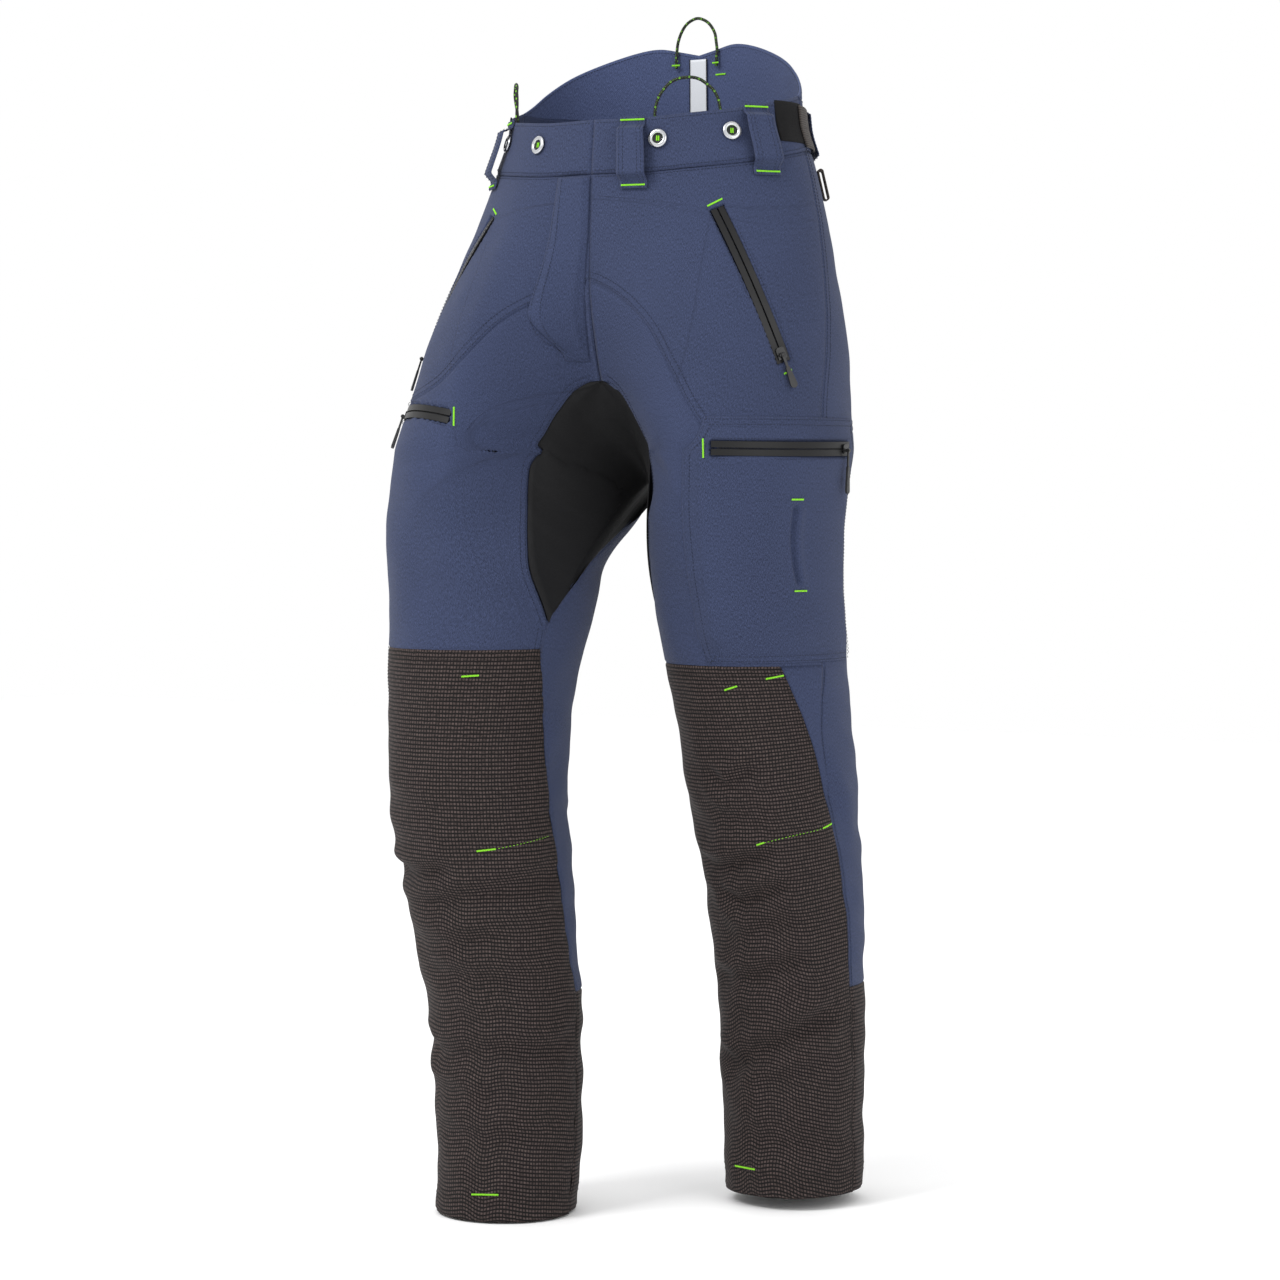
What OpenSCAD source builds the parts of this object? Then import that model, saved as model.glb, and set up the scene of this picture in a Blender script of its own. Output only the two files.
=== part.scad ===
// Arborist chainsaw trousers, worn in a walking stance and held by the waist.
// Origin: centre of the waist ring, level with the top of the front waistband.
// +X is the wearer's left, -Y is the front, +Z is up. Millimetres.
//
// Every cloth piece lies on one garment surface. A place on it is [u, z]:
// u runs from the centre front (0) round the side (0.5) to the centre back (1),
// and below the fork u = 0 and u = 1 are the same line, the inseam.
// z is the height on the standard length, and n is the distance out from the cloth face.

/* [Size] */
// Drop from the front of the waist to the standard hem line
garment_length = 1025; // [950:5:1100]
// Girth in percent of the standard size
girth_percent = 100; // [92:1:110]

/* [Cloth] */
// Thickness of the outer cloth panels
cloth_t = 1; // [0.8:0.1:1.2]
// Gap left at each side of a seam
seam_gap = 0.5; // [0.4:0.1:0.7]
// Thickness of the cut-protection pads
pad_t = 6; // [4:0.5:7]
// Height of the waistband
band_h = 50; // [42:1:54]

/* [Belt loops] */
// Width of a belt loop
loop_w = 25; // [18:1:28]
// Clear gap for the belt behind a loop
loop_gap = 9; // [7:0.5:10]

/* [Zips] */
// Visible width of the zip tapes
tape_w = 13; // [12:0.5:14]
// Length of a pull tab
pull_l = 32; // [22:1:36]
// Play of a pull tab's eye round the bar of its slider
pull_play = 0.4; // [0.3:0.05:0.6]

/* [Cords and buttons] */
// Diameter of the brace cord
cord_d = 3; // [2.5:0.1:3.4]
// Diameter of a brace button
button_d = 17.5; // [15:0.5:19]

/* [Hidden] */

LEFT = 1;
RIGHT = -1;
standard_length = 1025;
length_k = garment_length / standard_length;
girth_k = girth_percent / 100;

blue = "#4f5f80";
brown = "#3b332e";
black = "#1b1b1d";
green = "#7ccf2a";

// ---- Garment surface -------------------------------------------------------

// Height of the fork, where the two legs part
fork_z = -305;
// Radius of the rounding between the legs at the fork
fork_r = 22;
// Stations of one half: [z, half width, half depth, centre off the middle plane]
body = [
  [100, 150, 123, 0],
  [0, 156, 125, 0],
  [-40, 167, 129, 2],
  [-95, 171, 133, 9],
  [-155, 151, 136, 36],
  [-205, 127, 134, 64],
  [-240, 112, 132, 79],
  [-265, 101, 129, 92],
  [-290, 92, 126, 104],
  [-305, 87.5, 124, 109.5],
  [-370, 89, 117, 103],
  [-445, 88, 104, 98],
  [-535, 83.5, 92, 98],
  [-625, 80, 86, 98],
  [-735, 75, 79, 99],
  [-835, 70.5, 74, 100],
  [-935, 68, 71, 100],
  [-1030, 66, 68, 100]
];
// Stance of each leg: [z, outward shift, backward shift, swell]
left_stance = [
  [0, 0, 0, 1],
  [-95, 0, 0, 1],
  [-215, 0, -8, 1],
  [-290, -2, -16, 0.98],
  [-370, -4, -14, 0.95],
  [-445, -3, -4, 0.96],
  [-535, 0, 14, 0.98],
  [-625, 0, 36, 0.99],
  [-735, 0, 60, 0.98],
  [-835, 0, 70, 0.985],
  [-935, 0, 74, 0.99],
  [-1030, 0, 75, 0.985]
];
right_stance = [
  [0, 0, 0, 1],
  [-40, 0, -4, 1],
  [-95, 2, -20, 1],
  [-155, 5, -45, 1],
  [-215, 9, -70, 1],
  [-290, 13, -90, 1.02],
  [-370, 17, -106, 1.06],
  [-445, 17, -122, 1.05],
  [-535, 17, -142, 1.01],
  [-625, 16, -148, 1.02],
  [-735, 11, -132, 1.025],
  [-835, 5, -118, 1.01],
  [-935, 2, -116, 1.005],
  [-1030, 2, -120, 1]
];
// Sideways turn of the seat's middle at the waist, from the walking stance
seat_turn = 36;
// Hem height of each leg
function hem_z(side) = side == LEFT ? -1010 : -1020;

function smooth(t) = let (c = min(1, max(0, t))) c * c * (3 - 2 * c);
function mix(a, b, t) = a + (b - a) * t;

// Smooth value of a table whose first column falls
function place(tab, z, i = 0) =
  (i >= len(tab) - 2 || z >= tab[i + 1][0]) ? i : place(tab, z, i + 1);
function slope(tab, i) =
  let (a = max(0, i - 1), b = min(len(tab) - 1, i + 1))
  (tab[b] - tab[a]) / (tab[b][0] - tab[a][0]);
function at_height(tab, z) =
  let (i = place(tab, z), p = tab[i], q = tab[i + 1], h = q[0] - p[0],
       t = min(1, max(0, (z - p[0]) / h)), t2 = t * t, t3 = t2 * t)
  (2 * t3 - 3 * t2 + 1) * p + (t3 - 2 * t2 + t) * h * slope(tab, i)
  + (3 * t2 - 2 * t3) * q + (t3 - t2) * h * slope(tab, i + 1);

function fork_round(z) =
  z > fork_z ? fork_r * (1 - smooth((z + 240) / 140)) : fork_r * (1 - smooth((fork_z - z) / 150));

// Point of the surface on one side
function skin(side, u, z) =
  let (b = at_height(body, z), rx = b[1], ry = b[2], cx = b[3], r = fork_round(z),
       k = z > fork_z ? asin(min(1, (cx - r) / rx)) : 90,
       v = z > fork_z ? min(1, max(0, u)) : u,
       phi = -k + v * (180 + 2 * k),
       xb = cx + rx * sin(phi), x = sqrt(max(0, xb * xb - r * r)), y = -ry * cos(phi),
       s = at_height(side == LEFT ? left_stance : right_stance, z),
       near = smooth(x / 90), w = mix(near, 1, smooth((fork_z - z) / 120)),
       x2 = x + w * (s[1] + (s[3] - 1) * (x - cx)), y2 = y + w * (s[2] + (s[3] - 1) * y),
       turn = seat_turn * smooth((y + 60) / 180) * smooth((z + 300) / 280))
  [girth_k * (side * x2 - turn), girth_k * y2, length_k * z];

// The same surface with one running number all round the waist: -1..0 right, 0..1 left, 1..2 right
function ring(w, z) = w < 0 ? skin(RIGHT, -w, z) : w <= 1 ? skin(LEFT, w, z) : skin(RIGHT, 2 - w, z);
function spot(side, u, z) = side == 0 ? ring(u, z) : skin(side, u, z);
// Sense of turning of u seen from above
function sense(side) = side == RIGHT ? -1 : 1;

du = 0.004;
dz = 1.5;
// Point and outward normal
function face_at(side, u, z) =
  let (c = side != 0 && z > fork_z - dz ? min(1 - du, max(du, u)) : u,
       along = spot(side, c + du, z) - spot(side, c - du, z),
       up = spot(side, c, z + dz) - spot(side, c, z - dz),
       n = sense(side) * cross(along, up))
  [spot(side, u, z), n / norm(n)];
function lifted(side, u, z, n) = let (f = face_at(side, u, z)) f[0] + n * f[1];

// ---- Cloth sheets ----------------------------------------------------------

// Closed sheet on a grid; f(s, t) gives [u, z, inner n, outer n] for s, t in 0..1
module sheet(side, cols, rows, f) {
  w = cols + 1;
  g = [for (i = [0:rows]) for (j = [0:cols])
    let (q = f(j / cols, i / rows)) [q, face_at(side, q[0], q[1])]];
  outer = [for (p = g) p[1][0] + p[0][3] * p[1][1]];
  inner = [for (p = g) p[1][0] + p[0][2] * p[1][1]];
  count = len(g);
  faces = concat(
    [for (i = [0:rows - 1]) for (j = [0:cols - 1])
      let (a = i * w + j) each quad(a, a + 1, a + w + 1, a + w)],
    [for (i = [0:rows - 1]) for (j = [0:cols - 1])
      let (a = count + i * w + j) each quad(a + w + 1, a + 1, a, a + w)],
    [for (j = [0:cols - 1]) each quad(j + 1, j, count + j, count + j + 1)],
    [for (j = [0:cols - 1]) let (a = rows * w + j) each quad(a, a + 1, count + a + 1, count + a)],
    [for (i = [0:rows - 1]) let (a = i * w) each quad(a, a + w, count + a + w, count + a)],
    [for (i = [0:rows - 1]) let (a = i * w + cols) each quad(a + w, a, count + a, count + a + w)]);
  polyhedron(concat(outer, inner), side == RIGHT ? [for (q = faces) [q[2], q[1], q[0]]] : faces);
}
function quad(a, b, c, d) = [[a, b, c], [a, c, d]];

// Tube round a leg; f(s, t) as for a sheet, with s = 0 and s = 1 the same line
module leg_tube(side, cols, rows, f) {
  g = [for (i = [0:rows]) for (j = [0:cols - 1])
    let (q = f(j / cols, i / rows)) [q, face_at(side, q[0], q[1])]];
  outer = [for (p = g) p[1][0] + p[0][3] * p[1][1]];
  inner = [for (p = g) p[1][0] + p[0][2] * p[1][1]];
  c = len(g);
  faces = [for (i = [0:rows - 1]) for (j = [0:cols - 1])
    let (a = i * cols + j, b = i * cols + (j + 1) % cols, d = a + cols, e = b + cols)
    each concat(quad(a, b, e, d), quad(c + a, c + d, c + e, c + b))];
  rims = [for (j = [0:cols - 1])
    let (a = j, b = (j + 1) % cols, d = rows * cols + j, e = rows * cols + (j + 1) % cols)
    each concat(quad(b, a, c + a, c + b), quad(d, e, c + e, c + d))];
  all = concat(faces, rims);
  polyhedron(concat(outer, inner), side == RIGHT ? [for (q = all) [q[2], q[1], q[0]]] : all);
}

// Smooth curve through hand-set points, t in 0..1
function curve(pts, t) =
  let (m = len(pts) - 1, x = t * m, i = min(m - 1, floor(x)), f = x - i, p = pts[i], q = pts[i + 1],
       a = i > 0 ? (q - pts[i - 1]) / 2 : q - p, b = i < m - 1 ? (pts[i + 2] - p) / 2 : q - p,
       f2 = f * f, f3 = f2 * f)
  (2 * f3 - 3 * f2 + 1) * p + (f3 - 2 * f2 + f) * a + (3 * f2 - 2 * f3) * q + (f3 - f2) * b;

// Place inside four edges: left and right run down, top and bottom run from left to right
function patch(l, r, t, b, s, v) =
  let (c00 = t[0], c10 = t[len(t) - 1], c01 = b[0], c11 = b[len(b) - 1])
  mix(curve(l, v), curve(r, v), s) + mix(curve(t, s), curve(b, s), v)
  - mix(mix(c00, c10, s), mix(c01, c11, s), v);

// Cloth panel between four edges, kept a seam gap inside them
module panel(side, l, r, t, b, cols, rows, n0 = -cloth_t, n1 = 0, wide = 200, high = 300) {
  es = seam_gap / wide;
  ev = seam_gap / high;
  sheet(side, cols, rows, function(s, v)
    let (q = patch(l, r, t, b, mix(es, 1 - es, s), mix(ev, 1 - ev, v))) [q[0], q[1], n0, n1]);
}

// ---- Seam lines, as [u, z] -------------------------------------------------

side_u = 0.47;
// Top edge of the front waistband and of the raised back, as [-u, z]
rim = [
  [0, 0], [-0.1, 0], [-0.2, 4], [-0.3, 9], [-0.4, 17], [-0.5, 25],
  [-0.56, 34], [-0.62, 48], [-0.7, 66], [-0.78, 80], [-0.86, 91],
  [-0.91, 94], [-0.96, 90], [-1, 86]
];
function rim_z(u) = at_height(rim, -u)[1];
function band_top(u) = u < 0.5 ? rim_z(u) : 25;
function band_low(u) = band_top(u) - band_h;

// The left hip seam runs down to the cargo pocket, the right one over the thigh zip
hip_seam_left = [
  [0, -148], [0.05, -163], [0.1, -188], [0.15, -226],
  [0.21, -264], [0.28, -294], [0.37, -302], [side_u, -300]
];
hip_seam_right = [
  [0, -148], [0.05, -163], [0.095, -184], [0.14, -219],
  [0.2, -243], [0.28, -255], [0.37, -260], [side_u, -260]
];
function hip_seam(side) = side == LEFT ? hip_seam_left : hip_seam_right;
function hip_seam_low(side) = hip_seam(side)[7][1];
gusset_front = [
  [0, -240], [0.035, -262], [0.07, -286], [0.115, -310],
  [0.135, -336], [0.128, -366], [0.1, -404], [0.06, -453], [0.052, -462]
];
gusset_back = [
  [1, -250], [0.97, -266], [0.945, -288], [0.93, -318], [0.945, -352], [0.98, -400], [1.042, -453],
  [1.052, -462]
];
// First stretch of the inseam under the gusset
inseam_top = [0.0523, -466];
function knee_top_z(side) = side == LEFT ? -503 : -487;
seat_seam = [[side_u, -300], [0.6, -288], [0.75, -266], [0.88, -254], [1, -248]];
outer_low = [
  [0.385, -505], [0.425, -572], [0.452, -640], [0.472, -715], [0.48, -785], [0.486, -812]
];
side_low = [
  [side_u, -500], [0.452, -540], [0.445, -580], [0.452, -640], [0.472, -715], [0.48, -785], [0.486, -812]
];
inner_low = [
  [0.055, -490], [0.03, -545], [0.012, -600], [0, -660], [-0.012, -720], [-0.025, -780], [-0.04, -812]
];
calf_z = -812;
function shifted(pts, d) = [for (p = pts) p + d];
function part_of(pts, a, b) = [for (i = [a:b]) pts[i]];

hem_u = [-0.02, 0.5];

// ---- Cloth panels ----------------------------------------------------------

module front_hip(side) {
  color(blue) difference() {
    panel(side, [[0, band_low(0)], [0, -148]],
          [[side_u, band_low(side_u)], [side_u, hip_seam_low(side)]],
          [for (i = [0:6]) let (u = side_u * i / 6) [u, band_low(u)]], hip_seam(side), 16, 8);
    arc_window(hip_zip(side));
    if (side == RIGHT) fly_window();
  }
}
module front_hip_panel_left() { front_hip(LEFT); }
module front_hip_panel_right() { front_hip(RIGHT); }

module front_thigh(side) {
  kz = knee_top_z(side);
  color(blue) difference() {
    panel(side, concat([[0, -148], [0, -195]], gusset_front, [inseam_top, [0.055, kz]]),
          [[side_u, hip_seam_low(side)], [side_u, kz]],
          hip_seam(side), [[0.055, kz], [side_u, kz]], 13, 24);
    if (side == RIGHT) {
      arc_window(thigh_arc());
      fly_window();
    }
  }
}
module front_thigh_panel_left() { front_thigh(LEFT); }
module front_thigh_panel_right() { front_thigh(RIGHT); }

module knee_shin(side) {
  kz = knee_top_z(side);
  hz = hem_z(side);
  l = concat([[0.055, kz]], part_of(inner_low, 1, 6),
             [[-0.028, (hz + calf_z) / 2], [hem_u[0], hz]]);
  r = concat([[0.385, kz]], part_of(outer_low, 1, 5),
             [[0.49, -865], [0.495, (hz + calf_z) / 2 - 40], [hem_u[1], hz]]);
  color(brown) panel(side, l, r, [[0.055, kz], [0.385, kz]],
                     [[hem_u[0], hz], [hem_u[1], hz]], 13, 15);
}
module knee_shin_panel_left() { knee_shin(LEFT); }
module knee_shin_panel_right() { knee_shin(RIGHT); }

// Blue wedge let in between the knee panel and the back of the leg
dart_top_u = [0.392, 0.464];
dart_low_u = [0.4285, 0.4435];
dart_low_z = -574;
module knee_dart(side) {
  color(blue) sheet(side, 2, 4, function(s, v)
    let (edge = mix(dart_top_u, dart_low_u, v))
    [mix(edge[0], edge[1], s), mix(knee_top_z(side) - 1, dart_low_z, v), -cloth_t, 0]);
}
module knee_dart_left() { knee_dart(LEFT); }
module knee_dart_right() { knee_dart(RIGHT); }

module back_leg(side) {
  l = concat([[side_u, -300], [side_u, -400]], side_low);
  r = concat(gusset_back, shifted(concat([inseam_top, [0.055, knee_top_z(side)]],
                                         part_of(inner_low, 1, 6)), [1, 0]));
  color(blue) panel(side, l, r, seat_seam, [[0.486, calf_z], [0.96, calf_z]], 15, 30);
}
module back_leg_panel_left() { back_leg(LEFT); }
module back_leg_panel_right() { back_leg(RIGHT); }

module lower_back(side) {
  hz = hem_z(side);
  color(brown) panel(side, [[0.487, calf_z], [0.491, -865], [0.497, (hz + calf_z) / 2 - 40], [0.501, hz]],
    [[0.958, calf_z], [0.962, -855], [0.971, (hz + calf_z) / 2], [0.979, hz]],
    [[0.487, calf_z], [0.958, calf_z]], [[0.501, hz], [0.979, hz]], 12, 6, high = 200);
}
module lower_back_panel_left() { lower_back(LEFT); }
module lower_back_panel_right() { lower_back(RIGHT); }

module seat(side) {
  color(blue) panel(side, [[side_u, band_low(side_u)], [side_u, -300]], [[1, band_low(1)], [1, -248]],
    [[side_u, band_low(side_u)], [0.6, band_low(0.6)], [0.8, band_low(0.8)], [1, band_low(1)]],
    seat_seam, 14, 8);
}
module seat_panel_left() { seat(LEFT); }
module seat_panel_right() { seat(RIGHT); }

// Stretch gusset: a saddle that joins both legs under the fork
module crotch_gusset() {
  half_cols = 8;
  half_rows = 12;
  t = cloth_t;
  // Front half of the saddle runs from the front tip to the tip down the leg, back half on to the seat
  function centre(s) = s < 0 ? [0, mix(fork_z, -241, -s)] : [1, mix(fork_z, -251, s)];
  function edge(s) = s < 0 ? curve(gusset_front, 1 + s) : curve(gusset_back, 1 - s);
  function knot(s, q) =
    let (side = q < 0 ? RIGHT : LEFT, a = abs(q), c = centre(s), e = edge(s),
         g = mix(c, e, 0.975 * a))
    skin(side, g[0], g[1]);
  m = 2 * half_cols;
  k = 2 * half_rows;
  w = m + 1;
  // The stretch cloth spans its edges evenly: each inner knot settles between its neighbours
  function settled(p, times) = times == 0 ? p : settled([
    for (i = [0:k]) for (j = [0:m]) let (a = i * w + j)
      i == 0 || i == k || j == 0 || j == m ? p[a] : (p[a - w] + p[a + w] + p[a - 1] + p[a + 1]) / 4], times - 1);
  top = settled([for (i = [0:k]) for (j = [0:m]) knot(0.97 * (i / half_rows - 1), j / half_cols - 1)], 10);
  function pick(i, j) = top[min(k, max(0, i)) * (m + 1) + min(m, max(0, j))];
  low = [for (i = [0:k]) for (j = [0:m])
    let (n = cross(pick(i, j + 1) - pick(i, j - 1), pick(i + 1, j) - pick(i - 1, j)), c = norm(n))
    pick(i, j) + t * n / max(c, 0.001)];
  c = len(top);
  color(black) polyhedron(concat(top, low), concat(
    [for (i = [0:k - 1]) for (j = [0:m - 1]) let (a = i * w + j) each quad(a, a + 1, a + w + 1, a + w)],
    [for (i = [0:k - 1]) for (j = [0:m - 1]) let (a = c + i * w + j) each quad(a + w + 1, a + 1, a, a + w)],
    [for (j = [0:m - 1]) each quad(j + 1, j, c + j, c + j + 1)],
    [for (j = [0:m - 1]) let (a = k * w + j) each quad(a, a + 1, c + a + 1, c + a)],
    [for (i = [0:k - 1]) let (a = i * w) each quad(a, a + w, c + a + w, c + a)],
    [for (i = [0:k - 1]) let (a = i * w + m) each quad(a + w, a, c + a, c + a + w)]));
}

// Raised panel that covers the small of the back
module back_yoke() {
  color(blue) sheet(0, 30, 3, function(s, v)
    let (w = mix(0.505, 1.495, s), u = w < 1 ? w : 2 - w)
    [w, mix(rim_z(u), band_top(0.6) + seam_gap, v), -1.2, 1.2]);
}
module back_waistband() {
  color(blue) sheet(0, 30, 2, function(s, v)
    let (w = mix(0.505, 1.495, s)) [w, mix(25, 25 - band_h + seam_gap, v), -1.2, 1.2]);
}
module front_waistband(side) {
  color(blue) sheet(side, 16, 2, function(s, v)
    let (u = mix(0.002, 0.495, s)) [u, mix(band_top(u), band_low(u) + seam_gap, v), -1.2, 1.2]);
}
module front_waistband_left() { front_waistband(LEFT); }
module front_waistband_right() { front_waistband(RIGHT); }

// Flap over the fly zip, narrowing to the bottom of the fly
fly_facing_n = [3.2, 4.2];
module fly_facing() {
  color(blue) sheet(RIGHT, 4, 8, function(s, v)
    [mix(0.002, mix(0.068, 0.022, smooth((v - 0.72) / 0.28)), s), mix(-52, -222, v),
     fly_facing_n[0], fly_facing_n[1]]);
}

// Turned-up cloth inside each hem
module hem_facing(side) {
  leg_tube(side, 36, 1, function(s, v)
    [s, mix(hem_z(side) + 26, hem_z(side) + 0.6, v), -2.7, -1.7]);
}
module hem_facings() {
  color(brown) {
    hem_facing(LEFT);
    hem_facing(RIGHT);
  }
}

// ---- Layers inside the legs -------------------------------------------------

// Outer face of the pad: deep behind the pockets, close to the cloth below them
function pad_face(z) = -8.5 + 5.3 * smooth((-330 - z) / 60);
pad_top_z = -200;
pad_low_z = -960;
pad_outer_u = 0.45;

module cut_pad(side) {
  inner_edge = [
    [0.06, pad_top_z], [0.12, -262], [0.2, -322], [0.16, -392],
    [0.1, -470], [0.07, -600], [0.06, -780], [0.06, pad_low_z]
  ];
  color("#c9c4b4") sheet(side, 10, 16, function(s, v)
    let (q = curve(inner_edge, v), n = pad_face(q[1])) [mix(q[0], pad_outer_u, s), q[1], n - pad_t, n]);
}
module cut_pad_left() { cut_pad(LEFT); }
module cut_pad_right() { cut_pad(RIGHT); }

module leg_lining(side) {
  color("#303238") leg_tube(side, 28, 18, function(s, v)
    let (z = mix(-332, hem_z(side) + 30, v), n = pad_face(z) - pad_t - 2.4) [s, z, n - 0.8, n]);
}
module leg_lining_left() { leg_lining(LEFT); }
module leg_lining_right() { leg_lining(RIGHT); }

// ---- Local frames ------------------------------------------------------------

function unit(v) = v / norm(v);
// Axes at a place on the cloth: x level along the cloth, y up the cloth, z out of it
function cloth_axes(side, u, z) =
  let (f = face_at(side, u, z), n = f[1], x = unit(cross([0, 0, 1], n))) [x, cross(n, x), n];
module at_axes(p, a)
  multmatrix([[a[0][0], a[1][0], a[2][0], p[0]], [a[0][1], a[1][1], a[2][1], p[1]],
              [a[0][2], a[1][2], a[2][2], p[2]], [0, 0, 0, 1]]) children();
module on_cloth(side, u, z, n, turn = 0)
  at_axes(lifted(side, u, z, n), cloth_axes(side, u, z)) rotate([0, 0, turn]) children();

// ---- Pockets -----------------------------------------------------------------

pocket_u = [0.245, 0.575];
pocket_z = [-274, -500];
pocket_out = 7.2;
slit_u = 0.428;
slit_z = [-352, -428];
slit_w = 3;
welt_u = [0.008, 0.026];
// Rise of the pocket face from its stitched edges
function pocket_rise(s, v) = let (e = min(min(s, 1 - s) * 7, min(v, 1 - v) * 6, 1)) smooth(e);

module cargo_pocket() {
  color(blue) difference() {
    sheet(LEFT, 12, 10, function(s, v)
      let (n = 1.4 + (pocket_out - 1.4) * pocket_rise(s, v), c = 0.014 * smooth(1 - min(1, 8 * (1 - v))))
      [mix(pocket_u[0] + c, pocket_u[1] - c, s), mix(pocket_z[0], pocket_z[1], v), n - cloth_t, n]);
    arc_window(cargo_arc());
    on_cloth(LEFT, slit_u, (slit_z[0] + slit_z[1]) / 2, pocket_out)
      cube([slit_w, slit_z[0] - slit_z[1], 8], center = true);
  }
}
// Folded edge behind the slit of the pocket
module slit_pocket_welt() {
  color(blue) sheet(LEFT, 2, 3, function(s, v)
    [slit_u + mix(welt_u[0], welt_u[1], s), mix(slit_z[0] - 3, slit_z[1] + 3, v), 3.6, 4.6]);
}

// ---- Belt loops and webbing ----------------------------------------------------

loop_h = 66;
loop_t = 1.4;
loop_end = 1.8;
// Millimetres of cloth for one unit of u
function u_rate(side, u, z) = norm(spot(side, u + 0.01, z) - spot(side, u - 0.01, z)) / 0.02;
module belt_loop(side, u) {
  top = band_top(u < 1 ? u : 2 - u) + 1;
  h = loop_w / 2 / u_rate(side, u, top - band_h / 2);
  // Sewn flat over a tenth of its length at each end, then standing off for the belt
  color(blue) sheet(side, 2, 10, function(s, v)
    let (n = loop_end + loop_gap * smooth(10 * min(v, 1 - v) - 1))
    [mix(u - h, u + h, s), mix(top, top - loop_h, v), n, n + loop_t]);
}
module belt_loop_left_front() { belt_loop(LEFT, 0.083); }
module belt_loop_left_side() { belt_loop(LEFT, 0.335); }
module belt_loop_left_back() { belt_loop(LEFT, 0.66); }
module belt_loop_right_front() { belt_loop(RIGHT, 0.29); }
module belt_loop_right_back() { belt_loop(RIGHT, 0.66); }
module belt_loop_centre_back() { belt_loop(0, 1); }

// Webbing loop for small tools, hanging below the waistband at the side
tool_loop_u = 0.6;
tool_loop_z = -46;
module tool_loop_left() {
  color(brown) on_cloth(LEFT, tool_loop_u, tool_loop_z, 4.4) rotate([90, 0, 90])
    linear_extrude(12, center = true) difference() {
      loop_outline(2.8);
      loop_outline(1.6);
    }
}
module loop_outline(r) {
  translate([-22, 0]) circle(r, $fn = 32);
  translate([-22, -r]) square([22 + r, 2 * r]);
  translate([r, 0]) circle(r, $fn = 32);
}

patch_u = [0.385, 0.5];
patch_z = [17, -21];
module adjuster_patch(side) {
  color(black) sheet(side, 5, 1, function(s, v)
    [mix(patch_u[0], patch_u[1], s), mix(patch_z[0], patch_z[1], v), 1.5, 2.5]);
}
module adjuster_patch_left() { adjuster_patch(LEFT); }
module adjuster_patch_right() { adjuster_patch(RIGHT); }

tab_u = [0.475, 0.6];
tab_z = [15, -25];
module adjuster_tab(side) {
  color(brown) sheet(side, 5, 1, function(s, v)
    [mix(tab_u[0], tab_u[1], s), mix(tab_z[0], tab_z[1], v), 3, 4.8]);
}
module adjuster_tab_left() { adjuster_tab(LEFT); }
module adjuster_tab_right() { adjuster_tab(RIGHT); }

// Light strip sewn up the middle of the back, inside
module reflective_strip() {
  color("#b9bdc0") sheet(0, 1, 6, function(s, v) [mix(0.98, 1.02, s), mix(82, -60, v), -2.8, -1.9]);
}

// ---- Brace buttons and cords ----------------------------------------------------

button_drop = 21;
button_u = [0.13, 0.275];
module brace_button(side, u) {
  r = button_d / 2;
  on_cloth(side, u, band_top(u) - button_drop, 1.5) rotate_extrude($fn = 48)
    polygon([[0, 0], [r - 3, 0], [r - 3, 1], [r - 0.6, 1], [r, 1.6], [r, 2.4], [r - 0.6, 3], [r - 3, 3.2],
             [r - 3.6, 2.4], [0, 2.2]]);
}
module brace_buttons() {
  color("silver") for (side = [LEFT, RIGHT], u = button_u) brace_button(side, u);
}

// Routes of the cord loops that take the braces
cord_back_route = [
  [-59, 117, 74], [-59, 117, 82], [-59, 118, 90], [-58, 118, 98], [-56, 119, 106], [-52, 119, 113],
  [-47, 119, 118], [-41, 119, 121], [-36, 119, 122], [-31, 119, 121], [-25, 119, 118], [-20, 119, 113],
  [-16, 119, 106], [-14, 118, 98], [-13, 118, 90], [-13, 117, 82], [-13, 117, 74]
];
cord_left_route = [
  [58, -112, -10], [58, -112, -2], [58, -112, 6], [60, -112, 14], [63, -111, 21], [67, -109, 27],
  [72, -107, 32], [78, -104, 35], [84, -101, 36], [90, -98, 36], [96, -95, 34], [101, -92, 30],
  [106, -89, 25], [109, -86, 18], [110, -84, 11], [111, -83, 3], [111, -83, -6]
];
cord_right_route = [
  [-118, -77, 0], [-118, -77, 8], [-118, -77, 16], [-119, -75, 24], [-121, -72, 31], [-124, -68, 38],
  [-127, -63, 43], [-131, -58, 46], [-135, -53, 47], [-139, -48, 46], [-142, -44, 43], [-145, -40, 38],
  [-146, -37, 31], [-146, -35, 24], [-146, -34, 16], [-146, -34, 8]
];
// Round cord swept along a route
module cord(route) {
  pts = [for (p = route) [p[0] * girth_k, p[1] * girth_k, p[2] * length_k]];
  sides = 8;
  m = len(pts) - 1;
  r = cord_d / 2 / cos(180 / sides);
  function heading(i) = unit(pts[min(m, i + 1)] - pts[max(0, i - 1)]);
  across = unit(cross(unit(pts[m] - pts[0]), [0, 0, 1]));
  rings = [for (i = [0:m]) for (j = [0:sides - 1])
    let (b = unit(cross(heading(i), across)), a = 360 * j / sides)
    pts[i] + r * (cos(a) * across + sin(a) * b)];
  color(black) polyhedron(rings, concat(
    [for (i = [0:m - 1]) for (j = [0:sides - 1])
      let (a = i * sides + j, b = i * sides + (j + 1) % sides) each quad(b, a, a + sides, b + sides)],
    [[for (j = [0:sides - 1]) j]],
    [[for (j = [0:sides - 1]) m * sides + sides - 1 - j]]));
}
module brace_cord_back() { cord(cord_back_route); }
module brace_cord_left() { cord(cord_left_route); }
module brace_cord_right() { cord(cord_right_route); }

// ---- Zips --------------------------------------------------------------------------

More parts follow.
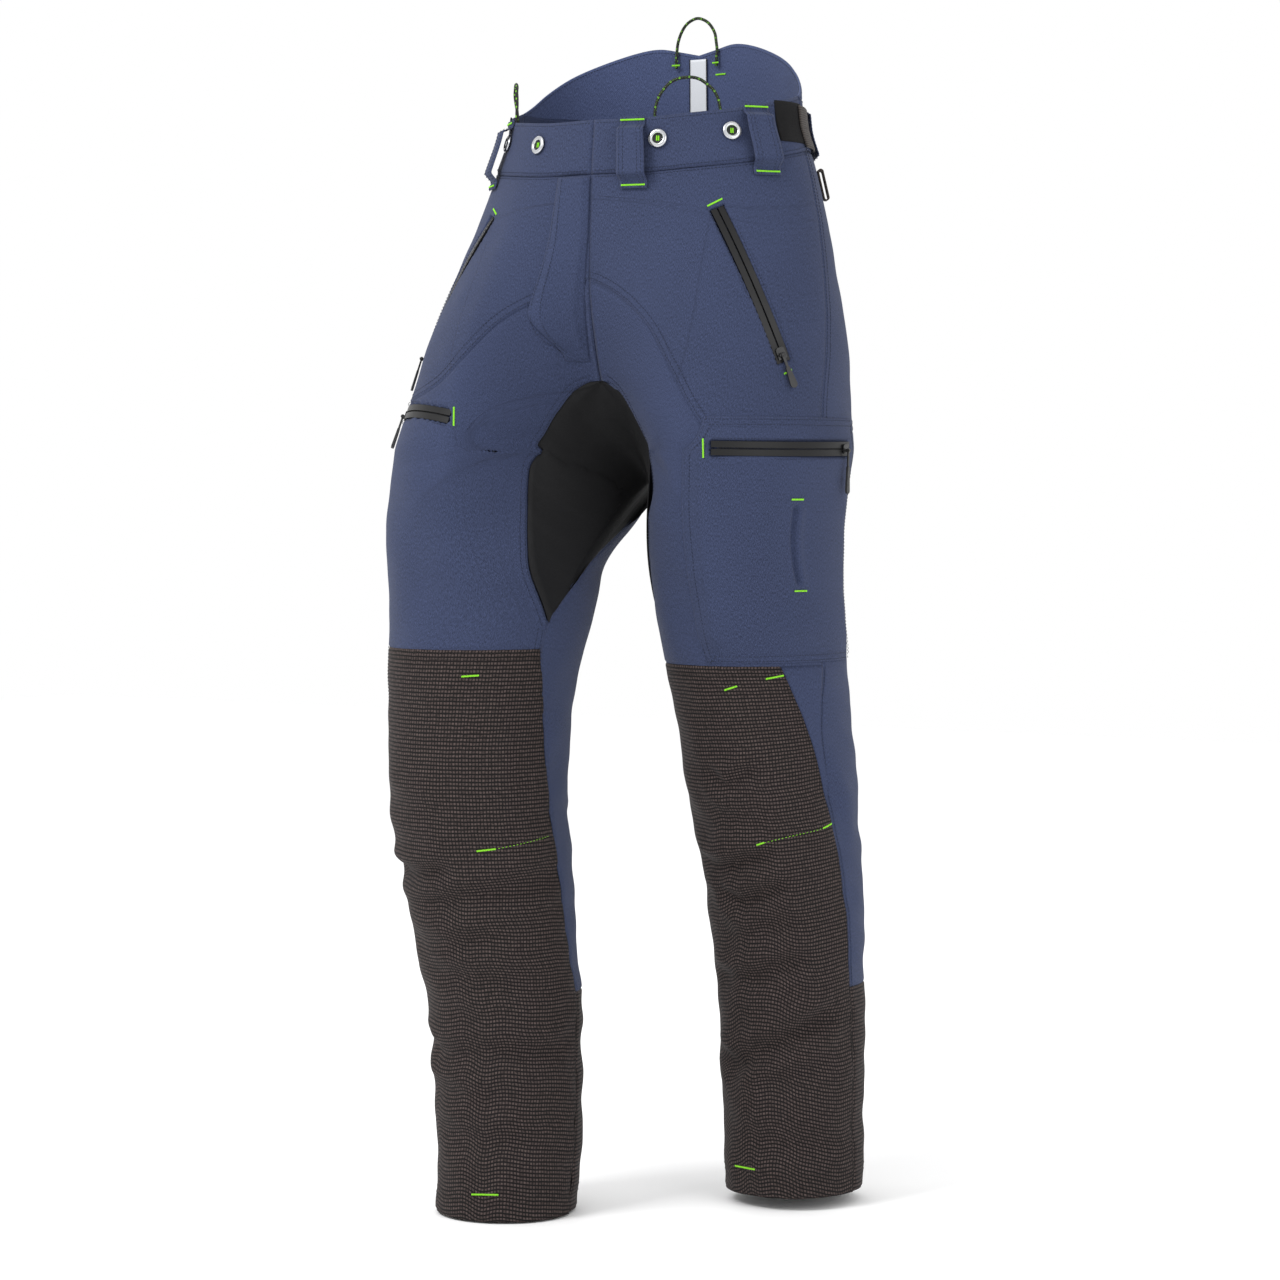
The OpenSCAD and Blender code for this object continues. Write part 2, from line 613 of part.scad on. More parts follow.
// A zip lies along its chord: [middle, axes, chord length, bend radius, turning centre]
function zip_frame(side, a, b, n) =
  let (p = lifted(side, a[0], a[1], n), q = lifted(side, b[0], b[1], n),
       f = face_at(side, (a[0] + b[0]) / 2, (a[1] + b[1]) / 2), m = f[0] + n * f[1],
       t = unit(q - p), o = unit(f[1] - (f[1] * t) * t), mid = (p + q) / 2, s = (m - mid) * o,
       c = norm(q - p), r = (c * c / 4 + s * s) / (2 * s))
  [mid + 0.5 * s * o, [t, cross(o, t), o], c, r, mid + (s - r) * o];
function hip_zip(side) = zip_frame(side, [0.23, -84], [0.37, -224], -0.6);
function fly_line() = zip_frame(RIGHT, [0.034, -58], [0.034, -164], -4.4);
function cargo_arc() = zip_frame(LEFT, [0.29, -302], [0.53, -302], pocket_out - 0.6);
function thigh_arc() = zip_frame(RIGHT, [0.165, -273], [0.4, -273], -0.6);

tape_t = 0.8;
slot = 0.8;
coil_w = 1.9;
coil_h = 1.5;
slider_l = 11;
slider_w = 8.4;
plate_t = 1.2;
plate_gap = 0.5;
bar_h = 3.9;
bar_r = 0.7;
bar_off = 1.5;
end_room = 8;
window_room = 0.7;
half_tape = tape_w / 2;
coil_low = tape_t + coil_h;

// Cross-section of one tape and its coil, across and out
module tape_outline() {
  translate([slot, -tape_t]) square([half_tape - slot, tape_t]);
  translate([slot, -coil_low]) square([coil_w, coil_low]);
}
module straight_zip(f) {
  color(black) at_axes(f[0], f[1]) for (m = [0, 1]) mirror([0, m, 0])
    rotate([90, 0, 90]) linear_extrude(f[2], center = true) tape_outline();
}
// Slot for the fly zip, long enough for its pull tab at the bottom
module fly_window() {
  f = fly_line();
  l = f[2] + 2 + fly_pull_l - end_room + 4;
  at_axes(f[0], f[1]) translate([(l - f[2] - 2) / 2, 0, 0])
    cube([l, tape_w + 2 * window_room, 18], center = true);
}
function arc_angle(f) = 2 * asin(f[2] / 2 / f[3]);
// Band round the turning axis of a bent zip, from y0 across and r0 out
module arc_band(f, y0, w, r0, h, extra = 0) {
  a = arc_angle(f) + extra;
  at_axes(f[4], f[1]) rotate([90, 0, 0]) rotate([0, 0, 90 - a / 2]) rotate_extrude(angle = a, $fn = 180)
    translate([f[3] + r0, y0]) square([h, w]);
}
module arc_zip(f) {
  a = arc_angle(f);
  color(black) at_axes(f[4], f[1]) for (m = [0, 1]) mirror([0, m, 0])
    rotate([90, 0, 0]) rotate([0, 0, 90 - a / 2]) rotate_extrude(angle = a, $fn = 180)
      translate([f[3], 0]) mirror([1, -1, 0]) tape_outline();
}
module arc_window(f) {
  arc_band(f, -half_tape - window_room, tape_w + 2 * window_room, -9, 18, 1.2);
}
// Axes of a bent zip turned along its bend by an angle
function turned(a, d) = [cos(d) * a[0] - sin(d) * a[2], a[1], cos(d) * a[2] + sin(d) * a[0]];
function arc_axes(f, d) = turned(f[1], d);
function arc_spot(f, d) = f[4] + f[3] * arc_axes(f, d)[2];
function end_angle(f) = (f[2] / 2 - end_room) / f[3] * 180 / PI;

// Slider: two plates round the coils, a post between the tapes and a bar for the pull tab
module slider_body(hang) {
  top = plate_gap + plate_t;
  low = -coil_low - plate_gap;
  difference() {
    translate([-slider_l / 2, -slider_w / 2, plate_gap]) cube([slider_l, slider_w, plate_t]);
    for (y = [-1, 1]) translate([-slider_l / 2, y * slider_w / 2, 0]) rotate([0, 0, 45])
      cube([2.4, 2.4, 9], center = true);
  }
  translate([-1.5, -0.4, low - 0.1]) cube([3, 0.8, plate_gap - low + 0.2]);
  translate([-slider_l / 2, -3.2, low - plate_t]) cube([slider_l, 6.4, plate_t]);
  rotate([0, 0, hang]) {
    for (y = [-1, 1]) translate([bar_off - 1, y * 2.6 - 0.4, top - 0.1]) cube([2, 0.8, bar_h - top + 0.9]);
    translate([bar_off, 0, bar_h]) rotate([90, 0, 0]) cylinder(h = 5.4, r = bar_r, center = true, $fn = 32);
  }
}
// Pull tab: eye round the bar, a short neck of cord and a moulded grip
module pull_tab(hang, l) {
  eye_in = bar_r + pull_play;
  eye_out = eye_in + 0.8;
  rotate([0, 0, hang]) translate([bar_off, 0, bar_h]) difference() {
    union() {
      rotate([90, 0, 0]) cylinder(h = 3.4, r = eye_out, center = true, $fn = 32);
      translate([0.5, -1.2, -0.8]) cube([l * 0.4, 2.4, 1.6]);
      translate([l * 0.36, 0, 0]) hull() {
        translate([2, 0, -1]) cylinder(h = 2, r = 2, $fn = 24);
        translate([l * 0.64 - 3.4, 0, -1]) cylinder(h = 2, r = 3.4, $fn = 24);
      }
    }
    rotate([90, 0, 0]) cylinder(h = 6, r = eye_in, center = true, $fn = 32);
  }
}

// Sliders of the bent zips rest at the lower or rear end
module arc_at(f) {
  at_axes(arc_spot(f, end_angle(f)), arc_axes(f, end_angle(f))) children();
}
module hip_zip_left() { arc_zip(hip_zip(LEFT)); }
module hip_zip_right() { arc_zip(hip_zip(RIGHT)); }
module hip_zip_slider_left() { color(black) arc_at(hip_zip(LEFT)) slider_body(0); }
module hip_zip_slider_right() { color(black) arc_at(hip_zip(RIGHT)) slider_body(0); }
module hip_zip_puller_left() { color(black) arc_at(hip_zip(LEFT)) pull_tab(0, pull_l); }
module hip_zip_puller_right() { color(black) arc_at(hip_zip(RIGHT)) pull_tab(0, pull_l); }

// The straight fly zip rests closed, with its slider at the top
fly_pull_l = 20;
module fly_at() {
  at_axes(fly_line()[0], fly_line()[1]) translate([end_room - fly_line()[2] / 2, 0, 0]) children();
}
module fly_zip() { straight_zip(fly_line()); }
module fly_zip_slider() { color(black) fly_at() slider_body(0); }
module fly_zip_puller() { color(black) fly_at() pull_tab(0, fly_pull_l); }

// The level zips' pull tabs hang across them
cargo_hang = -90;
thigh_hang = 90;
cargo_pull_l = 40;
module cargo_zip() { arc_zip(cargo_arc()); }
module cargo_zip_slider() { color(black) arc_at(cargo_arc()) slider_body(cargo_hang); }
module cargo_zip_puller() { color(black) arc_at(cargo_arc()) pull_tab(cargo_hang, cargo_pull_l); }
module thigh_zip() { arc_zip(thigh_arc()); }
module thigh_zip_slider() { color(black) arc_at(thigh_arc()) slider_body(thigh_hang); }
module thigh_zip_puller() { color(black) arc_at(thigh_arc()) pull_tab(thigh_hang, pull_l); }

// ---- Bar tacks -----------------------------------------------------------------------

tack_w = 2;
tack_h = 0.8;
// Each tack: [side, u, z, turn, length, cloth face under it]
loop_spots = [[LEFT, 0.083], [LEFT, 0.335], [RIGHT, 0.29], [LEFT, 0.66], [RIGHT, 0.66]];
loop_tacks = [for (p = loop_spots) for (e = [3, loop_h - 3])
  [p[0], p[1], band_top(p[1]) + 1 - e, 0, 22, loop_end + loop_t]];
cloth_tacks = [
  [LEFT, 0.292, -525, 4, 15, 0], [LEFT, 0.298, -671, 4, 8, 0], [LEFT, 0.212, -985, 0, 26, 0],
  [RIGHT, 0.168, -510, 4, 15, 0], [RIGHT, 0.145, -670, 6, 17, 0], [RIGHT, 0.205, -996, 2, 26, 0],
  [LEFT, slit_u, slit_z[0] + 4, 0, 14, 7.2], [LEFT, slit_u, slit_z[1] - 4, 0, 14, 7.2],
  [LEFT, 0.278, -302, 90, 17, 7.2], [RIGHT, 0.157, -273, 90, 17, 0],
  [LEFT, 0.226, -77, 8, 15, 0], [LEFT, 0.381, -235, 8, 15, 0],
  [RIGHT, 0.226, -77, -8, 15, 0], [RIGHT, 0.381, -235, -8, 15, 0]
];
module tack(t) {
  on_cloth(t[0], t[1], t[2], t[5] + 0.3, t[3]) translate([-t[4] / 2, -tack_w / 2, 0])
    cube([t[4], tack_w, tack_h]);
}
module bar_tacks() {
  color(green) for (t = concat(cloth_tacks, loop_tacks)) tack(t);
}

front_hip_panel_left();
front_hip_panel_right();
front_thigh_panel_left();
front_thigh_panel_right();
knee_shin_panel_left();
knee_shin_panel_right();
knee_dart_left();
knee_dart_right();
back_leg_panel_left();
back_leg_panel_right();
lower_back_panel_left();
lower_back_panel_right();
seat_panel_left();
seat_panel_right();
crotch_gusset();
back_yoke();
back_waistband();
front_waistband_left();
front_waistband_right();
fly_facing();
hem_facings();
cut_pad_left();
cut_pad_right();
leg_lining_left();
leg_lining_right();
cargo_pocket();
slit_pocket_welt();
belt_loop_left_front();
belt_loop_left_side();
belt_loop_left_back();
belt_loop_right_front();
belt_loop_right_back();
belt_loop_centre_back();
tool_loop_left();
brace_buttons();
brace_cord_back();
brace_cord_left();
brace_cord_right();
adjuster_patch_left();
adjuster_patch_right();
adjuster_tab_left();
adjuster_tab_right();
reflective_strip();
bar_tacks();
hip_zip_left();
hip_zip_slider_left();
hip_zip_puller_left();
hip_zip_right();
hip_zip_slider_right();
hip_zip_puller_right();
cargo_zip();
cargo_zip_slider();
cargo_zip_puller();
thigh_zip();
thigh_zip_slider();
thigh_zip_puller();
fly_zip();
fly_zip_slider();
fly_zip_puller();
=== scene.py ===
"""Arborist chainsaw trousers: cloth, seams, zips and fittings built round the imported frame."""

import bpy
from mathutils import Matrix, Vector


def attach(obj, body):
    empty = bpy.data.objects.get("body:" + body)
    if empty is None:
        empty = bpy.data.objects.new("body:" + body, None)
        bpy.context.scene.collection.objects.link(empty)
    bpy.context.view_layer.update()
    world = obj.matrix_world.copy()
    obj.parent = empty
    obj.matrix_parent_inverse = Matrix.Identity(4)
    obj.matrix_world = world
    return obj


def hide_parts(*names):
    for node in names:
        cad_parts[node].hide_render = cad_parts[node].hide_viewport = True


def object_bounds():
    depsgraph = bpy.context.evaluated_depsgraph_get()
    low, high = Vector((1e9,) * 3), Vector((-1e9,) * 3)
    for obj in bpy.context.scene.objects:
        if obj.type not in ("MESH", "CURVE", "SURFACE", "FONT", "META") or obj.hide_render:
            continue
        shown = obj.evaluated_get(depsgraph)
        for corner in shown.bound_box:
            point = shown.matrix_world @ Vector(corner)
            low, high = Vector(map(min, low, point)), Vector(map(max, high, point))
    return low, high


bl_info = {
    "name": "Chainsaw trousers",
    "version": (1, 0, 0),
    "blender": (4, 5, 0),
    "location": "3D Viewport > Sidebar > Trousers",
    "description": "Builds padded work trousers in a walking stance",
    "category": "Object",
}

import math

import bpy
import numpy as np
from mathutils import Vector

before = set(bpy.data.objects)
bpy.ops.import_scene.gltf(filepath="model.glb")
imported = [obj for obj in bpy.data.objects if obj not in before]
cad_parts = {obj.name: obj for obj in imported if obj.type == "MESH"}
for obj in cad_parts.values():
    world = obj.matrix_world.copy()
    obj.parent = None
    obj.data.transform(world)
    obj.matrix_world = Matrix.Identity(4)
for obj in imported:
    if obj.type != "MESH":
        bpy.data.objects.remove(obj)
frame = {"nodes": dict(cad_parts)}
CAD_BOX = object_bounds()
MM = 0.001
LEFT, RIGHT, RING = 1, -1, 0
ROOT = "trousers"

# ---- Garment surface, as in the part's source: places [u, z], millimetres --------------

FORK_Z = -305.0
FORK_R = 22.0
SEAT_TURN = 36.0
BODY = np.array([
    [100, 150, 123, 0], [0, 156, 125, 0], [-40, 167, 129, 2], [-95, 171, 133, 9],
    [-155, 151, 136, 36], [-205, 127, 134, 64], [-240, 112, 132, 79], [-265, 101, 129, 92],
    [-290, 92, 126, 104], [-305, 87.5, 124, 109.5], [-370, 89, 117, 103], [-445, 88, 104, 98],
    [-535, 83.5, 92, 98], [-625, 80, 86, 98], [-735, 75, 79, 99], [-835, 70.5, 74, 100],
    [-935, 68, 71, 100], [-1030, 66, 68, 100]], float)
STANCE = {
    LEFT: np.array([
        [0, 0, 0, 1], [-95, 0, 0, 1], [-215, 0, -8, 1], [-290, -2, -16, 0.98],
        [-370, -4, -14, 0.95], [-445, -3, -4, 0.96], [-535, 0, 14, 0.98], [-625, 0, 36, 0.99],
        [-735, 0, 60, 0.98], [-835, 0, 70, 0.985], [-935, 0, 74, 0.99], [-1030, 0, 75, 0.985]]),
    RIGHT: np.array([
        [0, 0, 0, 1], [-40, 0, -4, 1], [-95, 2, -20, 1], [-155, 5, -45, 1], [-215, 9, -70, 1],
        [-290, 13, -90, 1.02], [-370, 17, -106, 1.06], [-445, 17, -122, 1.05],
        [-535, 17, -142, 1.01], [-625, 16, -148, 1.02], [-735, 11, -132, 1.025],
        [-835, 5, -118, 1.01], [-935, 2, -116, 1.005], [-1030, 2, -120, 1]]),
}


def smooth(t):
    c = np.clip(t, 0, 1)
    return c * c * (3 - 2 * c)


def mix(a, b, t):
    return a + (b - a) * t


def at_height(tab, z):
    """Smooth value of a table whose first column falls."""
    z = np.asarray(z, float)
    n = len(tab)
    i = np.clip(np.searchsorted(-tab[:, 0], -z, side="right") - 1, 0, n - 2)
    low = np.maximum(np.arange(n) - 1, 0)
    high = np.minimum(np.arange(n) + 1, n - 1)
    slope = (tab[high] - tab[low]) / (tab[high, 0] - tab[low, 0])[:, None]
    p, q = tab[i], tab[i + 1]
    h = (q[..., 0] - p[..., 0])[..., None]
    t = np.clip((z - p[..., 0]) / h[..., 0], 0, 1)[..., None]
    t2, t3 = t * t, t * t * t
    return ((2 * t3 - 3 * t2 + 1) * p + (t3 - 2 * t2 + t) * h * slope[i]
            + (3 * t2 - 2 * t3) * q + (t3 - t2) * h * slope[i + 1])


def skin(side, u, z):
    u, z = np.broadcast_arrays(np.asarray(u, float), np.asarray(z, float))
    side = np.broadcast_to(side, u.shape)
    b = at_height(BODY, z)
    rx, ry, cx = b[..., 1], b[..., 2], b[..., 3]
    joined = z > FORK_Z
    r = FORK_R * (1 - np.where(joined, smooth((z + 240) / 140), smooth((FORK_Z - z) / 150)))
    k = np.where(joined, np.degrees(np.arcsin(np.clip((cx - r) / rx, -1, 1))), 90)
    v = np.where(joined, np.clip(u, 0, 1), u)
    phi = np.radians(-k + v * (180 + 2 * k))
    xb = cx + rx * np.sin(phi)
    x = np.sqrt(np.maximum(0, xb * xb - r * r))
    y = -ry * np.cos(phi)
    s = np.where((side > 0)[..., None], at_height(STANCE[LEFT], z), at_height(STANCE[RIGHT], z))
    near = smooth(x / 90)
    w = mix(near, 1, smooth((FORK_Z - z) / 120))
    x2 = x + w * (s[..., 1] + (s[..., 3] - 1) * (x - cx))
    y2 = y + w * (s[..., 2] + (s[..., 3] - 1) * y)
    turn = SEAT_TURN * smooth((y + 60) / 180) * smooth((z + 300) / 280)
    return np.stack([side * x2 - turn, y2, z], -1)


def spot(side, u, z):
    if side != RING:
        return skin(side, u, z)
    u = np.asarray(u, float)
    on_right = (u < 0) | (u > 1)
    return skin(np.where(on_right, RIGHT, LEFT), np.where(u < 0, -u, np.where(u <= 1, u, 2 - u)), z)


def face_at(side, u, z):
    """Points and outward normals."""
    u, z = np.broadcast_arrays(np.asarray(u, float), np.asarray(z, float))
    c = np.where(z > FORK_Z - 1.5, np.clip(u, 0.004, 0.996), u) if side != RING else u
    along = spot(side, c + 0.004, z) - spot(side, c - 0.004, z)
    up = spot(side, c, z + 1.5) - spot(side, c, z - 1.5)
    n = (-1 if side == RIGHT else 1) * np.cross(along, up)
    return spot(side, u, z), n / np.maximum(np.linalg.norm(n, axis=-1, keepdims=True), 1e-9)


def lifted(side, u, z, n=0.0):
    p, m = face_at(side, u, z)
    return p + np.asarray(n, float)[..., None] * m


def curve(pts, t):
    """Smooth curve through given points, t in 0..1."""
    p = np.asarray(pts, float)
    m = len(p) - 1
    x = np.asarray(t, float) * m
    i = np.clip(np.floor(x).astype(int), 0, m - 1)
    f = (x - i)[..., None]
    a = np.where((i > 0)[..., None], (p[i + 1] - p[np.maximum(i - 1, 0)]) / 2, p[i + 1] - p[i])
    b = np.where((i < m - 1)[..., None], (p[np.minimum(i + 2, m)] - p[i]) / 2, p[i + 1] - p[i])
    f2, f3 = f * f, f * f * f
    return ((2 * f3 - 3 * f2 + 1) * p[i] + (f3 - 2 * f2 + f) * a
            + (3 * f2 - 2 * f3) * p[i + 1] + (f3 - f2) * b)


def patch(l, r, t, b, s, v):
    l, r, t, b = (np.asarray(e, float) for e in (l, r, t, b))
    s, v = np.broadcast_arrays(s, v)
    ends = mix(mix(t[0], t[-1], s[..., None]), mix(b[0], b[-1], s[..., None]), v[..., None])
    return (mix(curve(l, v), curve(r, v), s[..., None]) + mix(curve(t, s), curve(b, s), v[..., None]) - ends)


# ---- Seam lines -------------------------------------------------------------------------

SIDE_U = 0.47
RIM = np.array([
    [0, 0], [-0.1, 0], [-0.2, 4], [-0.3, 9], [-0.4, 17], [-0.5, 25], [-0.56, 34], [-0.62, 48],
    [-0.7, 66], [-0.78, 80], [-0.86, 91], [-0.91, 94], [-0.96, 90], [-1, 86]], float)
BAND_H = 50.0
CALF_Z = -812.0
HEM_U = (-0.02, 0.5)
HEM_Z = {LEFT: -1010.0, RIGHT: -1020.0}
KNEE_Z = {LEFT: -503.0, RIGHT: -487.0}
HIP_SEAM = {
    LEFT: [[0, -148], [0.05, -163], [0.1, -188], [0.15, -226], [0.21, -264], [0.28, -294],
           [0.37, -302], [SIDE_U, -300]],
    RIGHT: [[0, -148], [0.05, -163], [0.095, -184], [0.14, -219], [0.2, -243], [0.28, -255],
            [0.37, -260], [SIDE_U, -260]],
}
# The gusset's own edges; the inseam starts under its lower tip
GUSSET_FRONT = [[0, -240], [0.022, -250], [0.046, -268], [0.08, -290], [0.13, -308], [0.138, -332],
                [0.128, -366], [0.1, -404], [0.06, -453], [0.052, -462]]
GUSSET_BACK = [[1, -250], [0.97, -266], [0.945, -288], [0.93, -318], [0.945, -352],
               [0.98, -400], [1.042, -453], [1.052, -462]]
INSEAM_TOP = [0.0523, -466]
SEAT_SEAM = [[SIDE_U, -300], [0.6, -288], [0.75, -266], [0.88, -254], [1, -248]]
OUTER_LOW = [[0.385, -505], [0.425, -572], [0.452, -640], [0.472, -715], [0.48, -785], [0.486, CALF_Z]]
SIDE_LOW = [[SIDE_U, -500], [0.452, -540], [0.445, -580], [0.452, -640], [0.472, -715],
            [0.48, -785], [0.486, CALF_Z]]
INNER_LOW = [[0.055, -490], [0.03, -545], [0.012, -600], [0, -660], [-0.012, -720],
             [-0.025, -780], [-0.04, CALF_Z]]


def rim_z(u):
    return at_height(RIM, -np.asarray(u, float))[..., 1]


def band_top(u):
    u = np.asarray(u, float)
    return np.where(u < 0.5, rim_z(np.minimum(u, 0.5)), 25.0)


def shifted(pts, d=1):
    return [[p[0] + d, p[1]] for p in pts]


# ---- Zip lines ---------------------------------------------------------------------------

TAPE_W = 13.0
POCKET_OUT = 7.2


class ZipLine:
    """A zip on its chord, bent to the cloth at its ends and middle."""

    def __init__(self, side, a, b, n):
        p, q = lifted(side, a[0], a[1], n), lifted(side, b[0], b[1], n)
        base, normal = face_at(side, (a[0] + b[0]) / 2, (a[1] + b[1]) / 2)
        m = base + n * normal
        self.t = (q - p) / np.linalg.norm(q - p)
        o = normal - (normal @ self.t) * self.t
        self.o = o / np.linalg.norm(o)
        self.w = np.cross(self.o, self.t)
        mid = (p + q) / 2
        rise = (m - mid) @ self.o
        self.chord = np.linalg.norm(q - p)
        self.r = (self.chord ** 2 / 4 + rise ** 2) / (2 * rise)
        self.centre = mid + (rise - self.r) * self.o
        self.side = side

    def local(self, p):
        """Along the bend, across it and out of it, for points near it."""
        d = p - self.centre
        x, y, z = d @ self.t, d @ self.w, d @ self.o
        return np.arctan2(x, z) * self.r, y, np.hypot(x, z) - self.r

    def point(self, x, y, n):
        a = np.asarray(x, float) / self.r
        y, n = np.broadcast_to(y, a.shape), np.broadcast_to(n, a.shape)
        out = np.cos(a)[..., None] * self.o + np.sin(a)[..., None] * self.t
        return self.centre + (self.r + n)[..., None] * out + y[..., None] * self.w, out

    def inside(self, p, extra=0.0, soft=1.2):
        """1 in the window that the zip lies in, falling to 0 over a soft edge."""
        x, y, n = self.local(p)
        half = 2 * math.asin(self.chord / 2 / self.r) * self.r / 2
        e = np.minimum(TAPE_W / 2 + extra - np.abs(y), half + extra - np.abs(x))
        return smooth(e / soft + 0.5) * (np.abs(n) < 40)


HIP_ZIP = {side: ZipLine(side, [0.23, -84], [0.37, -224], -0.6) for side in (LEFT, RIGHT)}
FLY_ZIP = ZipLine(RIGHT, [0.034, -58], [0.034, -164], -4.4)
FLY_CUT = ZipLine(RIGHT, [0.034, -58], [0.034, -182], -4.4)
CARGO_ZIP = ZipLine(LEFT, [0.29, -302], [0.53, -302], POCKET_OUT - 0.6)
THIGH_ZIP = ZipLine(RIGHT, [0.165, -273], [0.4, -273], -0.6)

# ---- Folds of the worn cloth --------------------------------------------------------------

# Each fold: points [u, z], depth, half width. A negative depth is a crest.
FOLDS = {
    RIGHT: [
        ([[0.43, -690], [0.36, -698], [0.28, -697], [0.2, -688]], 5.5, 9),
        ([[0.35, -724], [0.26, -722], [0.18, -716], [0.05, -701], [-0.01, -690]], 3.6, 10),
        ([[0.4, -757], [0.3, -764], [0.2, -760], [0.1, -748]], 2.0, 9),
        ([[0.36, -780], [0.25, -793], [0.15, -798], [0.01, -792]], 2.6, 11),
        ([[0.44, -852], [0.36, -861], [0.21, -863], [0.08, -862], [-0.03, -859]], 3.6, 9),
        ([[0.38, -866], [0.3, -874], [0.17, -878]], 3.2, 8),
        ([[0.4, -912], [0.28, -906], [0.14, -916]], 1.4, 12),
        ([[0.37, -940], [0.25, -946], [0.17, -949], [0.03, -944]], 2.4, 12),
        ([[0.4, -620], [0.3, -636], [0.2, -634]], 1.8, 12),
        ([[0.3, -405], [0.226, -441], [0.15, -470]], 1.8, 18),
        ([[0.36, -330], [0.28, -372], [0.2, -398]], 1.8, 20),
        ([[0.9, -610], [0.75, -628], [0.6, -620]], 5.0, 13),
        ([[0.92, -650], [0.74, -664], [0.58, -655]], 4.5, 12),
        ([[0.88, -570], [0.75, -585], [0.62, -578]], 3.0, 14),
        ([[0.95, -860], [0.75, -880], [0.6, -868]], 3.0, 12),
        ([[0.9, -330], [0.8, -372], [0.7, -392]], 4.0, 18),
    ],
    LEFT: [
        ([[0.2, -598], [0.23, -612], [0.255, -619], [0.29, -606], [0.33, -598]], 3.6, 8),
        ([[0.08, -640], [0.18, -652], [0.3, -640]], 1.8, 12),
        ([[0.1, -690], [0.16, -695], [0.21, -697], [0.27, -690], [0.36, -676]], 4.2, 9),
        ([[0.17, -712], [0.21, -723], [0.25, -730], [0.31, -715], [0.37, -704]], 3.6, 8),
        ([[0.08, -764], [0.2, -768], [0.32, -752], [0.4, -742]], 2.0, 11),
        ([[0.09, -800], [0.17, -804], [0.246, -803], [0.33, -787], [0.42, -776]], 4.0, 10),
        ([[0.09, -880], [0.15, -884], [0.2, -885], [0.31, -864], [0.4, -841], [0.46, -828]], 5.2, 10),
        ([[0.22, -905], [0.32, -897], [0.42, -880]], 2.0, 12),
        ([[0.14, -945], [0.25, -958], [0.33, -964], [0.48, -960]], 2.2, 13),
        ([[0.1, -352], [0.16, -333], [0.205, -313]], 1.8, 16),
        ([[0.2, -404], [0.225, -455], [0.23, -492]], 1.6, 14),
        ([[0.41, -592], [0.452, -630], [0.48, -690]], 1.6, 12),
        ([[0.9, -610], [0.75, -626], [0.6, -618]], 5.0, 13),
        ([[0.92, -648], [0.74, -662], [0.58, -652]], 4.2, 12),
        ([[0.95, -850], [0.75, -872], [0.6, -860]], 3.0, 12),
        ([[0.95, -345], [0.82, -368], [0.7, -384]], 3.6, 18),
    ],
}
RIPPLES = ((31.0, 0.35, 0.3, 0.6), (47.0, -0.28, 1.9, 0.8), (73.0, 0.5, 4.1, 1.1), (128.0, -0.7, 2.2, 1.6))
U_MM = 480.0
FOLD_GAIN = 1.3


def near_zip(side, p):
    calm = np.zeros(p.shape[:-1])
    for line in (HIP_ZIP[LEFT], HIP_ZIP[RIGHT], FLY_ZIP, CARGO_ZIP, THIGH_ZIP):
        if side in (line.side, RING):
            x, y, n = line.local(p)
            away = np.maximum(np.abs(y) - 12, np.abs(x) - line.chord / 2 - 6)
            calm = np.maximum(calm, (1 - smooth(away / 30)) * (np.abs(n) < 60))
    return calm


def fold(side, u, z, p):
    """Outward drift of the cloth from its plain surface."""
    if side == RING:
        return np.zeros(np.shape(u))
    total = np.zeros(np.shape(u))
    for pts, depth, width in FOLDS[side]:
        line = curve(pts, np.linspace(0, 1, 4 * len(pts)))
        best = np.full(np.shape(u), 1e9)
        where = np.zeros(np.shape(u))
        for i in range(len(line) - 1):
            ax, az = line[i][0] * U_MM, line[i][1]
            bx, bz = line[i + 1][0] * U_MM - ax, line[i + 1][1] - az
            t = np.clip(((u * U_MM - ax) * bx + (z - az) * bz) / (bx * bx + bz * bz), 0, 1)
            d = np.hypot(u * U_MM - ax - t * bx, z - az - t * bz)
            closer = d < best
            best = np.where(closer, d, best)
            where = np.where(closer, (i + t) / (len(line) - 1), where)
        above = z > np.interp(where, np.linspace(0, 1, len(line)), line[:, 1])
        ease = smooth(np.minimum(where, 1 - where) * 4 + 0.05)
        q = best / width
        crest = np.where(above, 0.75, 0.45) * np.exp(-((q - 1.9) / 0.95) ** 2)
        total += FOLD_GAIN * depth * ease * (crest - np.exp(-q * q))
    low = smooth((-470 - z) / 120)
    for wave, tilt, start, height in RIPPLES:
        drift = 2.2 * np.sin(u * 9.0 + start) + 1.3 * np.sin(u * 23.0 + 2 * start)
        total += (0.35 + 0.65 * low) * height * 0.42 * np.sin(
            2 * np.pi * (z + tilt * u * U_MM) / wave + start + drift)
    calm = np.maximum(near_zip(side, p), smooth((z + 96) / 40))
    return total * (1 - calm)


def cloth(side, u, z, n=0.0):
    """Points and normals of the folded cloth, n millimetres out."""
    p, m = face_at(side, u, z)
    out = fold(side, np.asarray(u, float), np.asarray(z, float), p) + np.asarray(n, float)
    return p + out[..., None] * m, m


# ---- Meshes --------------------------------------------------------------------------------

